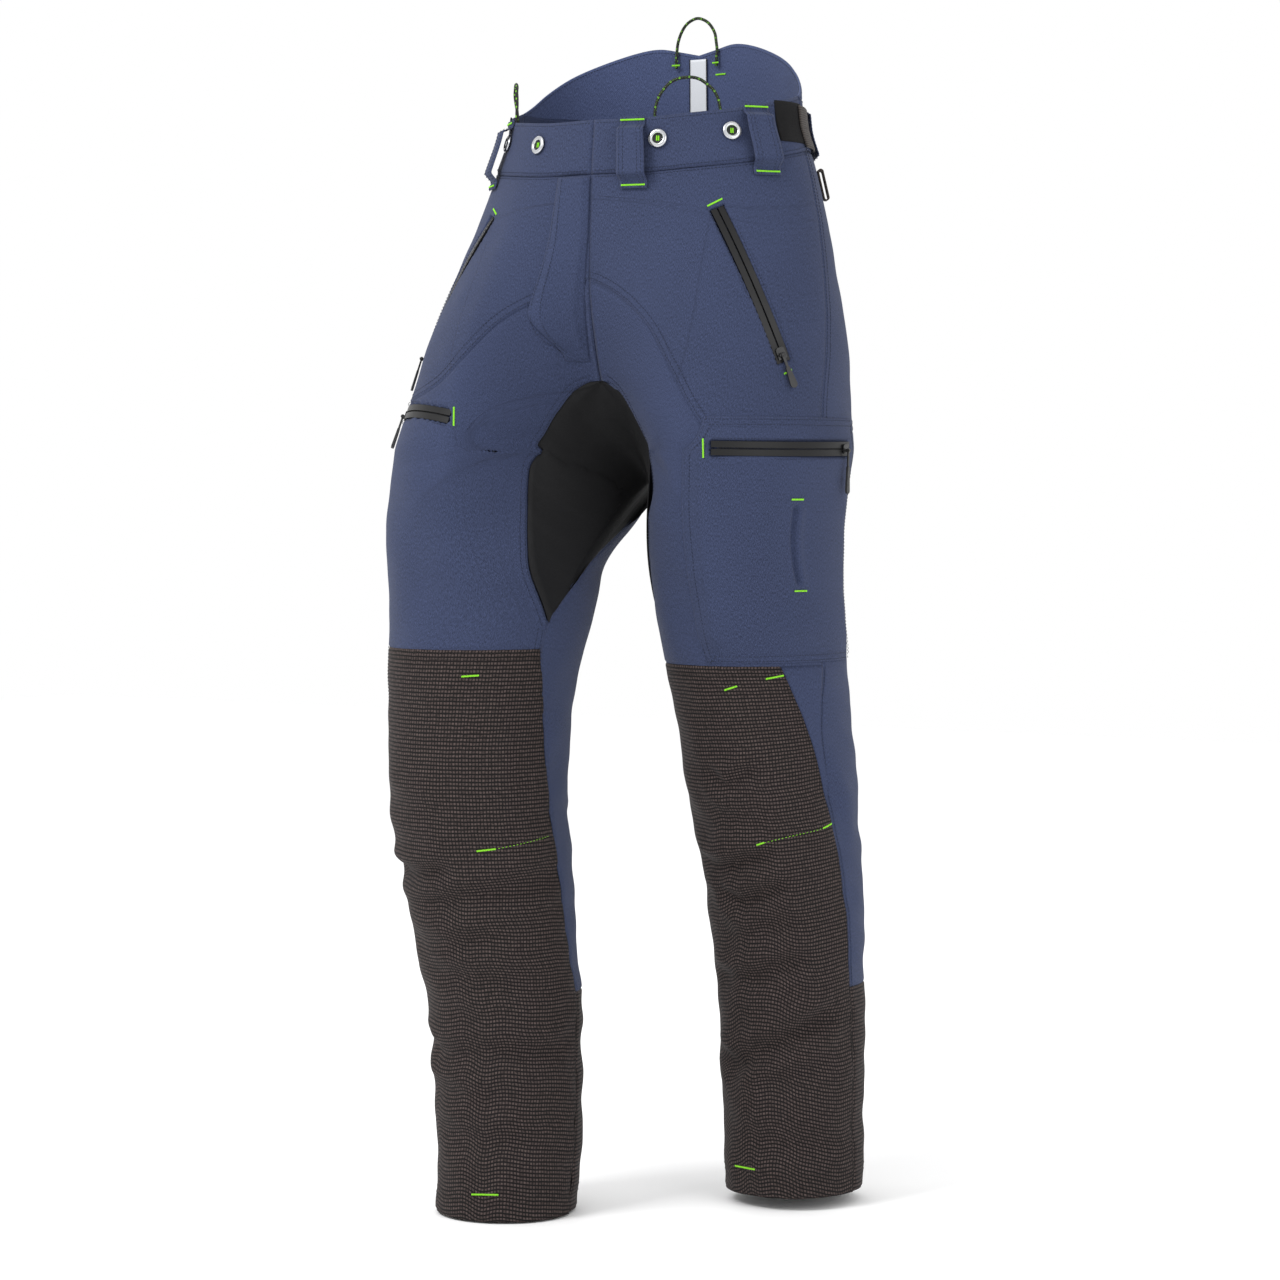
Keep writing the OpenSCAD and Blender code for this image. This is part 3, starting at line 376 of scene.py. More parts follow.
def new_object(name, verts, faces, material, body=ROOT, uv=None, smooth_faces=True):
    mesh = bpy.data.meshes.new(name)
    mesh.from_pydata([tuple(v) for v in verts], [], [tuple(int(i) for i in f) for f in faces])
    mesh.validate()
    if uv is not None:
        layer = mesh.uv_layers.new(name="cloth")
        loops = np.zeros(len(mesh.loops), np.int32)
        mesh.loops.foreach_get("vertex_index", loops)
        layer.data.foreach_set("uv", np.asarray(uv, np.float32)[loops].ravel())
    mesh.polygons.foreach_set("use_smooth", [smooth_faces] * len(mesh.polygons))
    mesh.materials.append(material)
    obj = bpy.data.objects.new(name, mesh)
    bpy.context.scene.collection.objects.link(obj)
    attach(obj, body)
    return obj


FLAT = {}


def steps(a):
    """Running length down the rows of a grid of points."""
    d = np.linalg.norm(np.diff(a, axis=0), axis=-1)
    return np.concatenate([np.zeros((1,) + d.shape[1:]), np.cumsum(d, axis=0)])


def shell(outer, inner, closed=False):
    """Vertices, faces and uv of a closed sheet between two grids; rows down, columns along."""
    rows, cols = outer.shape[:2]
    verts = np.concatenate([outer.reshape(-1, 3), inner.reshape(-1, 3)]) * MM
    count = rows * cols
    idx = np.arange(count).reshape(rows, cols)
    if closed:
        idx = np.concatenate([idx, idx[:, :1]], axis=1)
    a, b, c, d = idx[:-1, :-1].ravel(), idx[:-1, 1:].ravel(), idx[1:, 1:].ravel(), idx[1:, :-1].ravel()
    faces = [np.stack([a, d, c, b], 1), np.stack([a, b, c, d], 1) + count]
    rims = [(idx[0], True), (idx[-1], False)]
    if not closed:
        rims += [(idx[:, 0], False), (idx[:, -1], True)]
    for line, turn in rims:
        p, q = line[:-1], line[1:]
        quad = np.stack([p, q, q + count, p + count], 1)
        faces.append(quad if turn else quad[:, ::-1])
    faces = np.concatenate(faces)
    across = steps(np.swapaxes(outer, 0, 1)).T
    down = steps(outer)
    uv = np.stack([across - across[:, cols // 2:cols // 2 + 1], -down + down[:1]], -1).reshape(-1, 2) * MM
    return verts, faces, np.concatenate([uv, uv])


def outward(verts, faces):
    """Turns the faces of a closed mesh round if they look into it."""
    a, b, c, d = (verts[faces[:, i]] for i in range(4))
    volume = np.sum(a * np.cross(b, c)) + np.sum(a * np.cross(c, d))
    return faces if volume > 0 else faces[:, ::-1]


def sheet(name, side, place, cols, rows, n_in, n_out, material, body=ROOT, closed=False,
          folded=True, windows=(), edge=1.6, drop=0.8, s_span=(0, 1), v_span=(0, 1)):
    """A closed cloth sheet; place(s, v) gives u and z, n_in and n_out may be functions of s, v."""
    s = np.linspace(*s_span, cols + (0 if closed else 1), endpoint=not closed)
    v = np.linspace(*v_span, rows + 1)
    s, v = np.meshgrid(s, v)
    u, z = place(s, v)
    p, m = face_at(side, u, z)
    out = fold(side, u, z, p) if folded else np.zeros_like(u)
    low = n_in(s, v) if callable(n_in) else np.full_like(u, n_in)
    high = n_out(s, v) if callable(n_out) else np.full_like(u, n_out)
    across, down = steps(np.swapaxes(p, 0, 1)).T, steps(p)
    to_edge = np.minimum(down, down[-1:] - down)
    if not closed:
        to_edge = np.minimum(to_edge, np.minimum(across, across[:, -1:] - across))
    dip = drop * (1 - smooth(to_edge / edge)) ** 1.5
    sunk = np.zeros_like(u)
    for line, depth in windows:
        sunk = np.maximum(sunk, depth * line.inside(p))
    outer = p + (out + high - dip - sunk)[..., None] * m
    inner = p + (out + low - sunk)[..., None] * m
    verts, faces, uv = shell(outer, inner, closed)
    faces = outward(verts, faces)
    FLAT[name] = across.max(), down.max()
    return new_object(name, verts, faces, material, body, uv)


def panel(name, side, l, r, t, b, cols, rows, material, windows=()):
    """Sewn panel between four edges, its turned edges tucked under by a hair."""
    over = 0.0022
    return sheet(name, side, lambda s, v: np.moveaxis(patch(l, r, t, b, s, v), -1, 0), cols, rows,
                 -1.0, 0.0, material, windows=windows, edge=2.6, drop=1.5,
                 s_span=(-over, 1 + over), v_span=(-over, 1 + over))


# ---- Materials -------------------------------------------------------------------------------

class Nodes:
    """Small helper to write a material's nodes in order."""

    def __init__(self, name, colour, roughness, coords="cloth"):
        self.material = bpy.data.materials.new(name)
        self.material.use_nodes = True
        self.tree = self.material.node_tree
        self.shader = self.tree.nodes["Principled BSDF"]
        self.shader.inputs["Base Color"].default_value = (*colour, 1)
        self.shader.inputs["Roughness"].default_value = roughness
        if coords == "object":
            self.coords = self.add("ShaderNodeTexCoord").outputs["Object"]
        else:
            node = self.add("ShaderNodeUVMap")
            node.uv_map = coords
            self.coords = node.outputs["UV"]

    def add(self, kind, values=None, **settings):
        node = self.tree.nodes.new(kind)
        for key, value in settings.items():
            setattr(node, key, value)
        for key, value in (values or {}).items():
            if isinstance(value, bpy.types.NodeSocket):
                self.tree.links.new(value, node.inputs[key])
            else:
                node.inputs[key].default_value = value
        return node

    def link(self, socket, name):
        self.tree.links.new(socket, self.shader.inputs[name])

    def scaled(self, x, y, z=1.0, turn=0.0):
        return self.add("ShaderNodeMapping", {"Vector": self.coords, "Scale": (x, y, z),
                                              "Rotation": (0, 0, turn)}).outputs["Vector"]

    def noise(self, vector, scale=1.0, detail=3.0, rough=0.6):
        return self.add("ShaderNodeTexNoise", {"Vector": vector, "Scale": scale, "Detail": detail,
                                               "Roughness": rough}).outputs["Fac"]

    def math(self, kind, a, b=0.0, clamp=False):
        return self.add("ShaderNodeMath", {0: a, 1: b}, operation=kind, use_clamp=clamp).outputs[0]

    def band(self, value, low, high, a=0.0, b=1.0):
        return self.add("ShaderNodeMapRange", {"Value": value, "From Min": low, "From Max": high,
                                               "To Min": a, "To Max": b},
                        interpolation_type="SMOOTHSTEP").outputs["Result"]

    def colours(self, factor, a, b):
        node = self.add("ShaderNodeMix", data_type="RGBA")
        node.inputs[6].default_value = (*a, 1) if not isinstance(a, bpy.types.NodeSocket) else (0, 0, 0, 1)
        if isinstance(a, bpy.types.NodeSocket):
            self.tree.links.new(a, node.inputs[6])
        if isinstance(b, bpy.types.NodeSocket):
            self.tree.links.new(b, node.inputs[7])
        else:
            node.inputs[7].default_value = (*b, 1)
        self.tree.links.new(factor, node.inputs[0])
        return node.outputs[2]

    def bump(self, height, distance, strength=1.0):
        self.link(self.add("ShaderNodeBump", {"Height": height, "Distance": distance,
                                              "Strength": strength}).outputs["Normal"], "Normal")


MATERIALS = {}


def blue_twill(colour, name="blue_twill"):
    """Heathered twill: flecked warp threads over fine diagonal ribs."""
    m = Nodes(name, colour, 0.86)
    dark = tuple(0.42 * c for c in colour)
    light = tuple(1.75 * c + 0.004 for c in colour)
    flecks = m.noise(m.scaled(1500, 420), 1.0, 4.0, 0.75)
    threads = m.noise(m.scaled(520, 1500), 1.0, 2.0, 0.6)
    worn = m.noise(m.scaled(9, 7), 1.0, 3.0, 0.55)
    base = m.colours(m.band(flecks, 0.34, 0.68), dark, light)
    base = m.colours(m.band(threads, 0.40, 0.66, 0.0, 0.55), base, tuple(0.9 * c for c in colour))
    base = m.colours(m.band(worn, 0.3, 0.75, 0.0, 0.22), base, tuple(1.5 * c for c in colour))
    m.link(base, "Base Color")
    ribs = m.add("ShaderNodeTexWave", {"Vector": m.scaled(1, 1, 1, math.radians(35)), "Scale": 250.0,
                                       "Distortion": 1.2, "Detail": 2.0}).outputs["Fac"]
    height = m.math("ADD", m.math("MULTIPLY", ribs, 0.6), m.math("MULTIPLY", flecks, 0.7))
    m.bump(height, 0.00028, 0.85)
    m.link(m.band(flecks, 0.3, 0.7, 0.78, 0.92), "Roughness")
    m.shader.inputs["Sheen Weight"].default_value = 0.05
    m.shader.inputs["Sheen Roughness"].default_value = 0.5
    m.shader.inputs["Specular IOR Level"].default_value = 0.15
    return m.material


def check_ripstop(colour):
    """Fine brown dashes in rows on black, with small darker gaps between the columns."""
    m = Nodes("check_ripstop", (0.004, 0.0035, 0.0035), 0.8)
    cell = m.add("ShaderNodeSeparateXYZ", {"Vector": m.scaled(1000 / 3.1, 1000 / 3.7)})
    wobble = m.math("MULTIPLY", m.noise(m.scaled(90, 90), 1.0, 2.0), 0.35)
    fx = m.math("FRACT", m.math("ADD", cell.outputs["X"], wobble))
    fy = m.math("FRACT", m.math("ADD", cell.outputs["Y"], wobble))
    ax = m.math("ABSOLUTE", m.math("SUBTRACT", fx, 0.5))
    ay = m.math("ABSOLUTE", m.math("SUBTRACT", fy, 0.5))
    dots = m.math("MULTIPLY", m.band(ax, 0.44, 0.26), m.band(ay, 0.36, 0.2))
    grain = m.noise(m.scaled(1900, 1900), 1.0, 2.0)
    tone = m.noise(m.scaled(260, 330), 1.0, 2.0)
    brown = m.colours(m.band(tone, 0.3, 0.7), tuple(0.62 * c for c in colour), tuple(1.45 * c for c in colour))
    m.link(m.colours(m.math("MULTIPLY", dots, m.band(grain, 0.2, 0.5, 0.75, 1.0)), (0.006, 0.0052, 0.0055), brown),
           "Base Color")
    m.bump(m.math("ADD", m.math("MULTIPLY", dots, 0.8), m.math("MULTIPLY", grain, 0.4)), 0.0003, 0.8)
    m.shader.inputs["Sheen Weight"].default_value = 0.02
    m.shader.inputs["Specular IOR Level"].default_value = 0.15
    return m.material


def plain_cloth(name, colour, grain_per_m, roughness=0.85, contrast=0.35, depth=0.0002, coords="cloth"):
    """Small even weave with a mottled tone."""
    m = Nodes(name, colour, roughness, coords)
    grain = m.noise(m.scaled(grain_per_m, grain_per_m * 0.7, grain_per_m), 1.0, 3.0, 0.65)
    tone = m.noise(m.scaled(22, 22, 22), 1.0, 3.0)
    low, high = tuple(c * (1 - contrast) for c in colour), tuple(c * (1 + contrast) for c in colour)
    base = m.colours(m.band(grain, 0.35, 0.65), low, high)
    m.link(m.colours(m.band(tone, 0.3, 0.7, 0.0, 0.3), base, colour), "Base Color")
    m.bump(grain, depth, 0.8)
    m.link(m.band(tone, 0.3, 0.7, roughness - 0.06, roughness + 0.05), "Roughness")
    m.shader.inputs["Specular IOR Level"].default_value = 0.3
    return m.material


def ribbed(name, colour, pitch_mm, roughness=0.8):
    """Webbing with ribs across it; the grooves between the ribs are painted darker as shade."""
    m = Nodes(name, colour, roughness)
    cell = m.add("ShaderNodeSeparateXYZ", {"Vector": m.scaled(1000 / pitch_mm, 1000 / pitch_mm)})
    rib = m.band(m.math("ABSOLUTE", m.math("SUBTRACT", m.math("FRACT", cell.outputs["Y"]), 0.5)), 0.5, 0.1)
    grain = m.noise(m.scaled(1700, 1700), 1.0, 2.0)
    # Colour follows the rib height: rib tops lighter, grooves down to 0.3 of the colour as painted shade, broken by
    # the yarn's own grain
    tone = m.math("MULTIPLY", rib, m.band(grain, 0.25, 0.7, 0.55, 1.0))
    m.link(m.colours(tone, tuple(0.3 * c for c in colour), tuple(1.35 * c for c in colour)), "Base Color")
    m.bump(m.math("ADD", rib, m.math("MULTIPLY", grain, 0.5)), 0.0004)
    return m.material


def hard(name, colour, roughness, metallic=0.0, grain_per_m=900, depth=0.00004, wear=0.25):
    """Metal or moulded plastic with fine grain and rubbed spots."""
    m = Nodes(name, colour, roughness, "object")
    grain = m.noise(m.scaled(grain_per_m, grain_per_m, grain_per_m), 1.0, 3.0)
    spots = m.noise(m.scaled(160, 160, 160), 1.0, 4.0, 0.7)
    m.link(m.colours(m.band(spots, 0.5, 0.75, 0.0, wear), colour, tuple(min(1, 1.6 * c + 0.02) for c in colour)),
           "Base Color")
    m.link(m.band(spots, 0.3, 0.7, max(0.05, roughness - 0.1), roughness + 0.1), "Roughness")
    m.bump(grain, depth, 0.6)
    m.shader.inputs["Metallic"].default_value = metallic
    return m.material


def flecked_cord(base, fleck):
    """Braid: black strands with short bright flecks in two opposed spirals."""
    m = Nodes("cord_fleck", base, 0.7)
    xy = m.add("ShaderNodeSeparateXYZ", {"Vector": m.coords})
    a = m.math("FRACT", m.math("ADD", m.math("MULTIPLY", xy.outputs["Y"], 1000 / 9.0), xy.outputs["X"]))
    b = m.math("FRACT", m.math("SUBTRACT", m.math("MULTIPLY", xy.outputs["Y"], 1000 / 9.0),
                               m.math("MULTIPLY", xy.outputs["X"], 2.0)))
    spots = m.math("MULTIPLY", m.band(a, 0.32, 0.26), m.band(b, 0.5, 0.42))
    m.link(m.colours(spots, base, fleck), "Base Color")
    braid = m.add("ShaderNodeTexWave", {"Vector": m.scaled(8, 1400), "Scale": 1.0, "Distortion": 2.0}).outputs["Fac"]
    m.bump(braid, 0.0003)
    return m.material


def make_materials(p):
    MATERIALS.update(
        blue=blue_twill(tuple(p.blue)),
        # Back yoke twill: the same blue painted 1.7 times lighter, a lit copy of the one twill standing in for light
        # on the yoke
        blue_back=blue_twill(tuple(1.7 * c for c in p.blue), "blue_twill_painted_lighter"),
        check=check_ripstop(tuple(p.brown)),
        gusset=plain_cloth("stretch_black", (0.0035, 0.0035, 0.0042), 1300, 0.8, 0.5),
        pad=plain_cloth("pad_felt", (0.52, 0.48, 0.40), 700, 0.9, 0.15, 0.0006),
        lining=plain_cloth("lining_mesh", (0.012, 0.012, 0.014), 1100, 0.75, 0.5),
        tape=plain_cloth("zip_laminate", (0.004, 0.004, 0.0045), 2400, 0.42, 0.2, 0.00003, "object"),
        coil=hard("zip_coil", (0.006, 0.006, 0.007), 0.4),
        slider=hard("slider_enamel", (0.012, 0.012, 0.013), 0.32, 0.3),
        moulded=hard("moulded_black", (0.008, 0.008, 0.009), 0.45),
        webbing=ribbed("webbing", (0.045, 0.036, 0.032), 2.2),
        pile=plain_cloth("hook_loop_pile", (0.0035, 0.0033, 0.0038), 1500, 0.95, 0.6, 0.0008),
        cord=flecked_cord((0.006, 0.007, 0.006), tuple(p.green)),
        green=plain_cloth("tack_thread", tuple(p.green), 2600, 0.6, 0.25, 0.0001, "object"),
        navy=plain_cloth("seam_thread", (0.010, 0.014, 0.03), 2600, 0.7, 0.25, 0.0001, "object"),
        dark=plain_cloth("check_thread", (0.012, 0.010, 0.009), 2600, 0.7, 0.25, 0.0001, "object"),
        steel=hard("button_steel", (0.55, 0.56, 0.58), 0.28, 1.0, 700, 0.00005, 0.15),
        centre=hard("button_dark", (0.02, 0.02, 0.022), 0.5, 0.6),
        tape_light=plain_cloth("reflective_tape", (0.60, 0.62, 0.66), 2000, 0.35, 0.1, 0.00005),
    )


# ---- Threads, coils and ribs that follow a path -------------------------------------------------

def thread_tree():
    """Node tree: small rounded bars set along a path, standing on an outward direction."""
    tree = bpy.data.node_groups.new("bars_along_path", "GeometryNodeTree")
    face = tree.interface
    face.new_socket("Path", in_out="INPUT", socket_type="NodeSocketGeometry")
    for name, value in (("Pitch", 0.003), ("Length", 0.002), ("Thickness", 0.0005), ("Turn", 0.0), ("Scatter", 0.06)):
        face.new_socket(name, in_out="INPUT", socket_type="NodeSocketFloat").default_value = value
    face.new_socket("Material", in_out="INPUT", socket_type="NodeSocketMaterial")
    face.new_socket("Bars", in_out="OUTPUT", socket_type="NodeSocketGeometry")
    nodes, links = tree.nodes, tree.links

    def add(kind, **settings):
        node = nodes.new(kind)
        for key, value in settings.items():
            setattr(node, key, value)
        return node

    given, result = add("NodeGroupInput"), add("NodeGroupOutput")
    to_curve = add("GeometryNodeMeshToCurve")
    even = add("GeometryNodeResampleCurve", mode="LENGTH")
    ball = add("GeometryNodeMeshUVSphere")
    ball.inputs["Segments"].default_value = 6
    ball.inputs["Rings"].default_value = 4
    ball.inputs["Radius"].default_value = 0.5
    size = add("ShaderNodeCombineXYZ")
    squash = add("GeometryNodeTransform")
    out = add("GeometryNodeInputNamedAttribute", data_type="FLOAT_VECTOR")
    out.inputs["Name"].default_value = "outward"
    tangent = add("GeometryNodeInputTangent")
    stand = add("FunctionNodeAlignRotationToVector", axis="Z")
    follow = add("FunctionNodeAlignRotationToVector", axis="X", pivot_axis="Z")
    turn = add("FunctionNodeRotateRotation", rotation_space="LOCAL")
    turn_by = add("FunctionNodeAxisAngleToRotation")
    turn_by.inputs["Axis"].default_value = (0, 0, 1)
    chance = add("FunctionNodeRandomValue", data_type="FLOAT")
    chance.inputs["Seed"].default_value = 7
    wild = add("ShaderNodeMath", operation="MULTIPLY_ADD")
    less = add("ShaderNodeMath", operation="MULTIPLY")
    less.inputs[1].default_value = -1.0
    place = add("GeometryNodeInstanceOnPoints")
    real = add("GeometryNodeRealizeInstances")
    shade = add("GeometryNodeSetShadeSmooth")
    paint = add("GeometryNodeSetMaterial")
    links.new(given.outputs["Path"], to_curve.inputs["Mesh"])
    links.new(to_curve.outputs["Curve"], even.inputs["Curve"])
    links.new(given.outputs["Pitch"], even.inputs["Length"])
    links.new(given.outputs["Length"], size.inputs["X"])
    links.new(given.outputs["Thickness"], size.inputs["Y"])
    links.new(given.outputs["Thickness"], size.inputs["Z"])
    links.new(ball.outputs["Mesh"], squash.inputs["Geometry"])
    links.new(size.outputs["Vector"], squash.inputs["Scale"])
    links.new(out.outputs["Attribute"], stand.inputs["Vector"])
    links.new(stand.outputs["Rotation"], follow.inputs["Rotation"])
    links.new(tangent.outputs["Tangent"], follow.inputs["Vector"])
    links.new(follow.outputs["Rotation"], turn.inputs["Rotation"])
    links.new(given.outputs["Scatter"], less.inputs[0])
    links.new(less.outputs[0], chance.inputs["Min"])
    links.new(given.outputs["Scatter"], chance.inputs["Max"])
    wild.inputs[1].default_value = 1.0
    links.new(chance.outputs["Value"], wild.inputs[0])
    links.new(given.outputs["Turn"], wild.inputs[2])
    links.new(wild.outputs[0], turn_by.inputs["Angle"])
    links.new(turn_by.outputs["Rotation"], turn.inputs["Rotate By"])
    links.new(even.outputs["Curve"], place.inputs["Points"])
    links.new(squash.outputs["Geometry"], place.inputs["Instance"])
    links.new(turn.outputs["Rotation"], place.inputs["Rotation"])
    links.new(place.outputs["Instances"], real.inputs["Geometry"])
    links.new(real.outputs["Geometry"], shade.inputs["Geometry"])
    links.new(shade.outputs["Geometry"], paint.inputs["Geometry"])
    links.new(given.outputs["Material"], paint.inputs["Material"])
    links.new(paint.outputs["Geometry"], result.inputs["Bars"])
    return tree


def bars(name, paths, pitch, length, thickness, material, turn=0.0, scatter=0.06, body=ROOT):
    """One mesh of bars along many paths; each path is (points in mm, outward directions)."""
    verts, edges, outs = [], [], []
    for pts, normals in paths:
        start = len(verts)
        verts += [tuple(p) for p in np.asarray(pts) * MM]
        outs += [tuple(n) for n in np.broadcast_to(normals, np.shape(pts))]
        edges += [(start + i, start + i + 1) for i in range(len(pts) - 1)]
    mesh = bpy.data.meshes.new(name + "_path")
    mesh.from_pydata(verts, edges, [])
    layer = mesh.attributes.new("outward", "FLOAT_VECTOR", "POINT")
    layer.data.foreach_set("vector", np.asarray(outs, np.float32).ravel())
    path = bpy.data.objects.new(name + "_path", mesh)
    bpy.context.scene.collection.objects.link(path)
    tree = bpy.data.node_groups.get("bars_along_path") or thread_tree()
    modifier = path.modifiers.new("bars", "NODES")
    modifier.node_group = tree
    sockets = {s.name: s.identifier for s in tree.interface.items_tree if s.in_out == "INPUT"}
    for key, value in (("Pitch", pitch * MM), ("Length", length * MM), ("Thickness", thickness * MM),
                       ("Turn", math.radians(turn)), ("Scatter", scatter), ("Material", material)):
        modifier[sockets[key]] = value
    bpy.context.view_layer.update()
    done = bpy.data.meshes.new_from_object(path.evaluated_get(bpy.context.evaluated_depsgraph_get()))
    bpy.data.objects.remove(path)
    bpy.data.meshes.remove(mesh)
    done.name = name
    for attribute in [a.name for a in done.attributes if a.name == "outward"]:
        done.attributes.remove(done.attributes[attribute])
    if not len(done.polygons):
        raise RuntimeError(name + ": no bars were made")
    obj = bpy.data.objects.new(name, done)
    bpy.context.scene.collection.objects.link(obj)
    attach(obj, body)
    return obj


def seam_path(side, uz, n=0.1, aside=0.0, span=(0, 1), step=3.0):
    """Path on the cloth along given places, moved aside along the cloth."""
    rough = cloth(side, *np.moveaxis(curve(uz, np.linspace(*span, 30)), -1, 0))[0]
    count = max(3, int(steps(rough)[-1] / step))
    u, z = np.moveaxis(curve(uz, np.linspace(*span, count)), -1, 0)
    base, m = cloth(side, u, z, n)
    if aside:
        along = np.gradient(base, axis=0)
        across = np.cross(m, along)
        across /= np.maximum(np.linalg.norm(across, axis=-1, keepdims=True), 1e-6)
        base = base + aside * across
    return base, m


# ---- Operators --------------------------------------------------------------------------------

class TrouserSettings(bpy.types.PropertyGroup):
    """Sizes and colours that a user may change."""

    blue: bpy.props.FloatVectorProperty(
        name="Twill", description="Colour of the heathered twill", subtype="COLOR",
        default=(0.030, 0.040, 0.084), min=0, max=1)
    brown: bpy.props.FloatVectorProperty(
        name="Check", description="Colour of the brown dashes in the check cloth", subtype="COLOR",
        default=(0.060, 0.044, 0.041), min=0, max=1)
    green: bpy.props.FloatVectorProperty(
        name="Tacks", description="Colour of the bright bar tacks", subtype="COLOR",
        default=(0.22, 0.60, 0.02), min=0, max=1)
    stitch: bpy.props.FloatProperty(
        name="Stitch", description="Spacing of the topstitching", subtype="DISTANCE", unit="LENGTH",
        default=0.0032, min=0.002, max=0.006)
    cell: bpy.props.FloatProperty(
        name="Cloth cell", description="Size of one cell of the cloth meshes", subtype="DISTANCE",
        unit="LENGTH", default=0.0032, min=0.002, max=0.01)
    camera_distance: bpy.props.FloatProperty(
        name="Camera distance", description="Distance from the camera to the trousers",
        subtype="DISTANCE", unit="LENGTH", default=3.4, min=1, max=10)


def settings():
    return bpy.context.scene.trouser_settings


def grid(width, height):
    """Columns and rows for a sheet of about that size in millimetres."""
    cell = settings().cell / MM
    return max(4, int(width / cell)), max(4, int(height / cell))


CORDS = {
    "back": [
        [-59, 117, 74], [-59, 117, 82], [-59, 118, 90], [-58, 118, 98], [-56, 119, 106],
        [-52, 119, 113], [-47, 119, 118], [-41, 119, 121], [-36, 119, 122], [-31, 119, 121],
        [-25, 119, 118], [-20, 119, 113], [-16, 119, 106], [-14, 118, 98], [-13, 118, 90],
        [-13, 117, 82], [-13, 117, 74]],
    "left": [
        [58, -112, -10], [58, -112, -2], [58, -112, 6], [60, -112, 14], [63, -111, 21],
        [67, -109, 27], [72, -107, 32], [78, -104, 35], [84, -101, 36], [90, -98, 36],
        [96, -95, 34], [101, -92, 30], [106, -89, 25], [109, -86, 18], [110, -84, 11],
        [111, -83, 3], [111, -83, -6]],
    "right": [
        [-118, -77, 0], [-118, -77, 8], [-118, -77, 16], [-119, -75, 24], [-121, -72, 31],
        [-124, -68, 38], [-127, -63, 43], [-131, -58, 46], [-135, -53, 47], [-139, -48, 46],
        [-142, -44, 43], [-145, -40, 38], [-146, -37, 31], [-146, -35, 24], [-146, -34, 16],
        [-146, -34, 8]],
}
CORD_D = 3.0


def tube(route, radius, sides=14, per_step=5):
    """Round tube along a route, with a uv of turns and metres along it."""
    t = np.linspace(0, 1, per_step * (len(route) - 1) + 1)
    pts = curve(route, t)
    heading = np.gradient(pts, axis=0)
    heading /= np.linalg.norm(heading, axis=1, keepdims=True)
    across = np.cross(pts[-1] - pts[0], [0, 0, 1.0])
    across /= np.linalg.norm(across)
    verts, uv = [], []
    run = steps(pts)
    for i, p in enumerate(pts):
        side = across - (across @ heading[i]) * heading[i]
        side /= np.linalg.norm(side)
        other = np.cross(heading[i], side)
        for j in range(sides):
            a = 2 * math.pi * j / sides
            verts.append((p + radius * (math.cos(a) * side + math.sin(a) * other)) * MM)
            uv.append((j / sides, run[i] * MM))
    faces = []
    for i in range(len(pts) - 1):
        for j in range(sides):
            k = (j + 1) % sides
            faces.append((i * sides + j, i * sides + k, (i + 1) * sides + k, (i + 1) * sides + j))
    verts = np.array(verts)
    last = (len(pts) - 1) * sides
    faces = [tuple(f) for f in faces]
    caps = [tuple(reversed(range(sides))), tuple(range(last, last + sides))]
    return verts, faces + caps, np.array(uv), pts


class TROUSERS_OT_stage(bpy.types.Operator):
    """Set the camera, the floor and the soft lights"""

    bl_idname = "trousers.stage"
    bl_label = "Stage"

    def execute(self, context):
        p = settings()
        scene = context.scene
        azimuth, elevation = math.radians(32), math.radians(2.5)
        back = Vector((math.sin(azimuth) * math.cos(elevation),
                       -math.cos(azimuth) * math.cos(elevation), math.sin(elevation)))
        target = Vector((-0.0203, -0.0127, -0.484))
        data = bpy.data.cameras.new("view")
        data.lens, data.sensor_width = 100, 36
        camera = bpy.data.objects.new("view", data)
        scene.collection.objects.link(camera)
        camera.location = target + back * p.camera_distance
        camera.rotation_mode = "QUATERNION"
        camera.rotation_quaternion = (-back).to_track_quat("-Z", "Y")
        scene.camera = camera
        floor_z = CAD_BOX[0].z - 0.004
        size = 6.0
        mesh = bpy.data.meshes.new("floor")
        mesh.from_pydata([(-size, -size, floor_z), (size, -size, floor_z), (size, size, floor_z),
                          (-size, size, floor_z)], [], [(0, 1, 2, 3)])
        floor = bpy.data.objects.new("floor", mesh)
        scene.collection.objects.link(floor)
        pale = Nodes("pale_floor", (1.0, 1.0, 1.0), 0.9, "object")
        mesh.materials.append(pale.material)
        world = bpy.data.worlds.new("studio")
        world.use_nodes = True
        world.node_tree.nodes["Background"].inputs["Color"].default_value = (1, 1, 1, 1)
        world.node_tree.nodes["Background"].inputs["Strength"].default_value = 1.0
        scene.world = world
        scene.view_settings.view_transform = "Standard"
        for name, place, power, width in (
                ("key", (-0.9, -2.3, 1.9), 62, 1.1),
                ("fill", (2.7, -1.0, 0.4), 16, 1.6),
                ("rim", (-1.8, 1.8, 1.2), 10, 1.4)):
            light = bpy.data.lights.new(name, "AREA")
            light.energy, light.size = power, width
            lamp = bpy.data.objects.new(name, light)
            scene.collection.objects.link(lamp)
            lamp.location = place
            lamp.rotation_mode = "QUATERNION"
            lamp.rotation_quaternion = (Vector(place) - Vector((0, 0, -0.5))).to_track_quat("Z", "Y")
        return {"FINISHED"}


class TROUSERS_OT_materials(bpy.types.Operator):
    """Make the cloth, thread, metal and plastic materials"""

    bl_idname = "trousers.materials"
    bl_label = "Materials"

    def execute(self, context):
        make_materials(settings())
        return {"FINISHED"}


class TROUSERS_OT_cords(bpy.types.Operator):
    """Make the brace cord loops"""

    bl_idname = "trousers.cords"
    bl_label = "Brace cords"

    def execute(self, context):
        for name, route in CORDS.items():
            verts, faces, uv, pts = tube(route, CORD_D / 2)
            obj = new_object("brace_cord_" + name + "_braid", verts, faces, MATERIALS["cord"], uv=uv)
            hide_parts("brace_cord_" + name)
        return {"FINISHED"}


def side_name(side):
    return "left" if side == LEFT else "right"


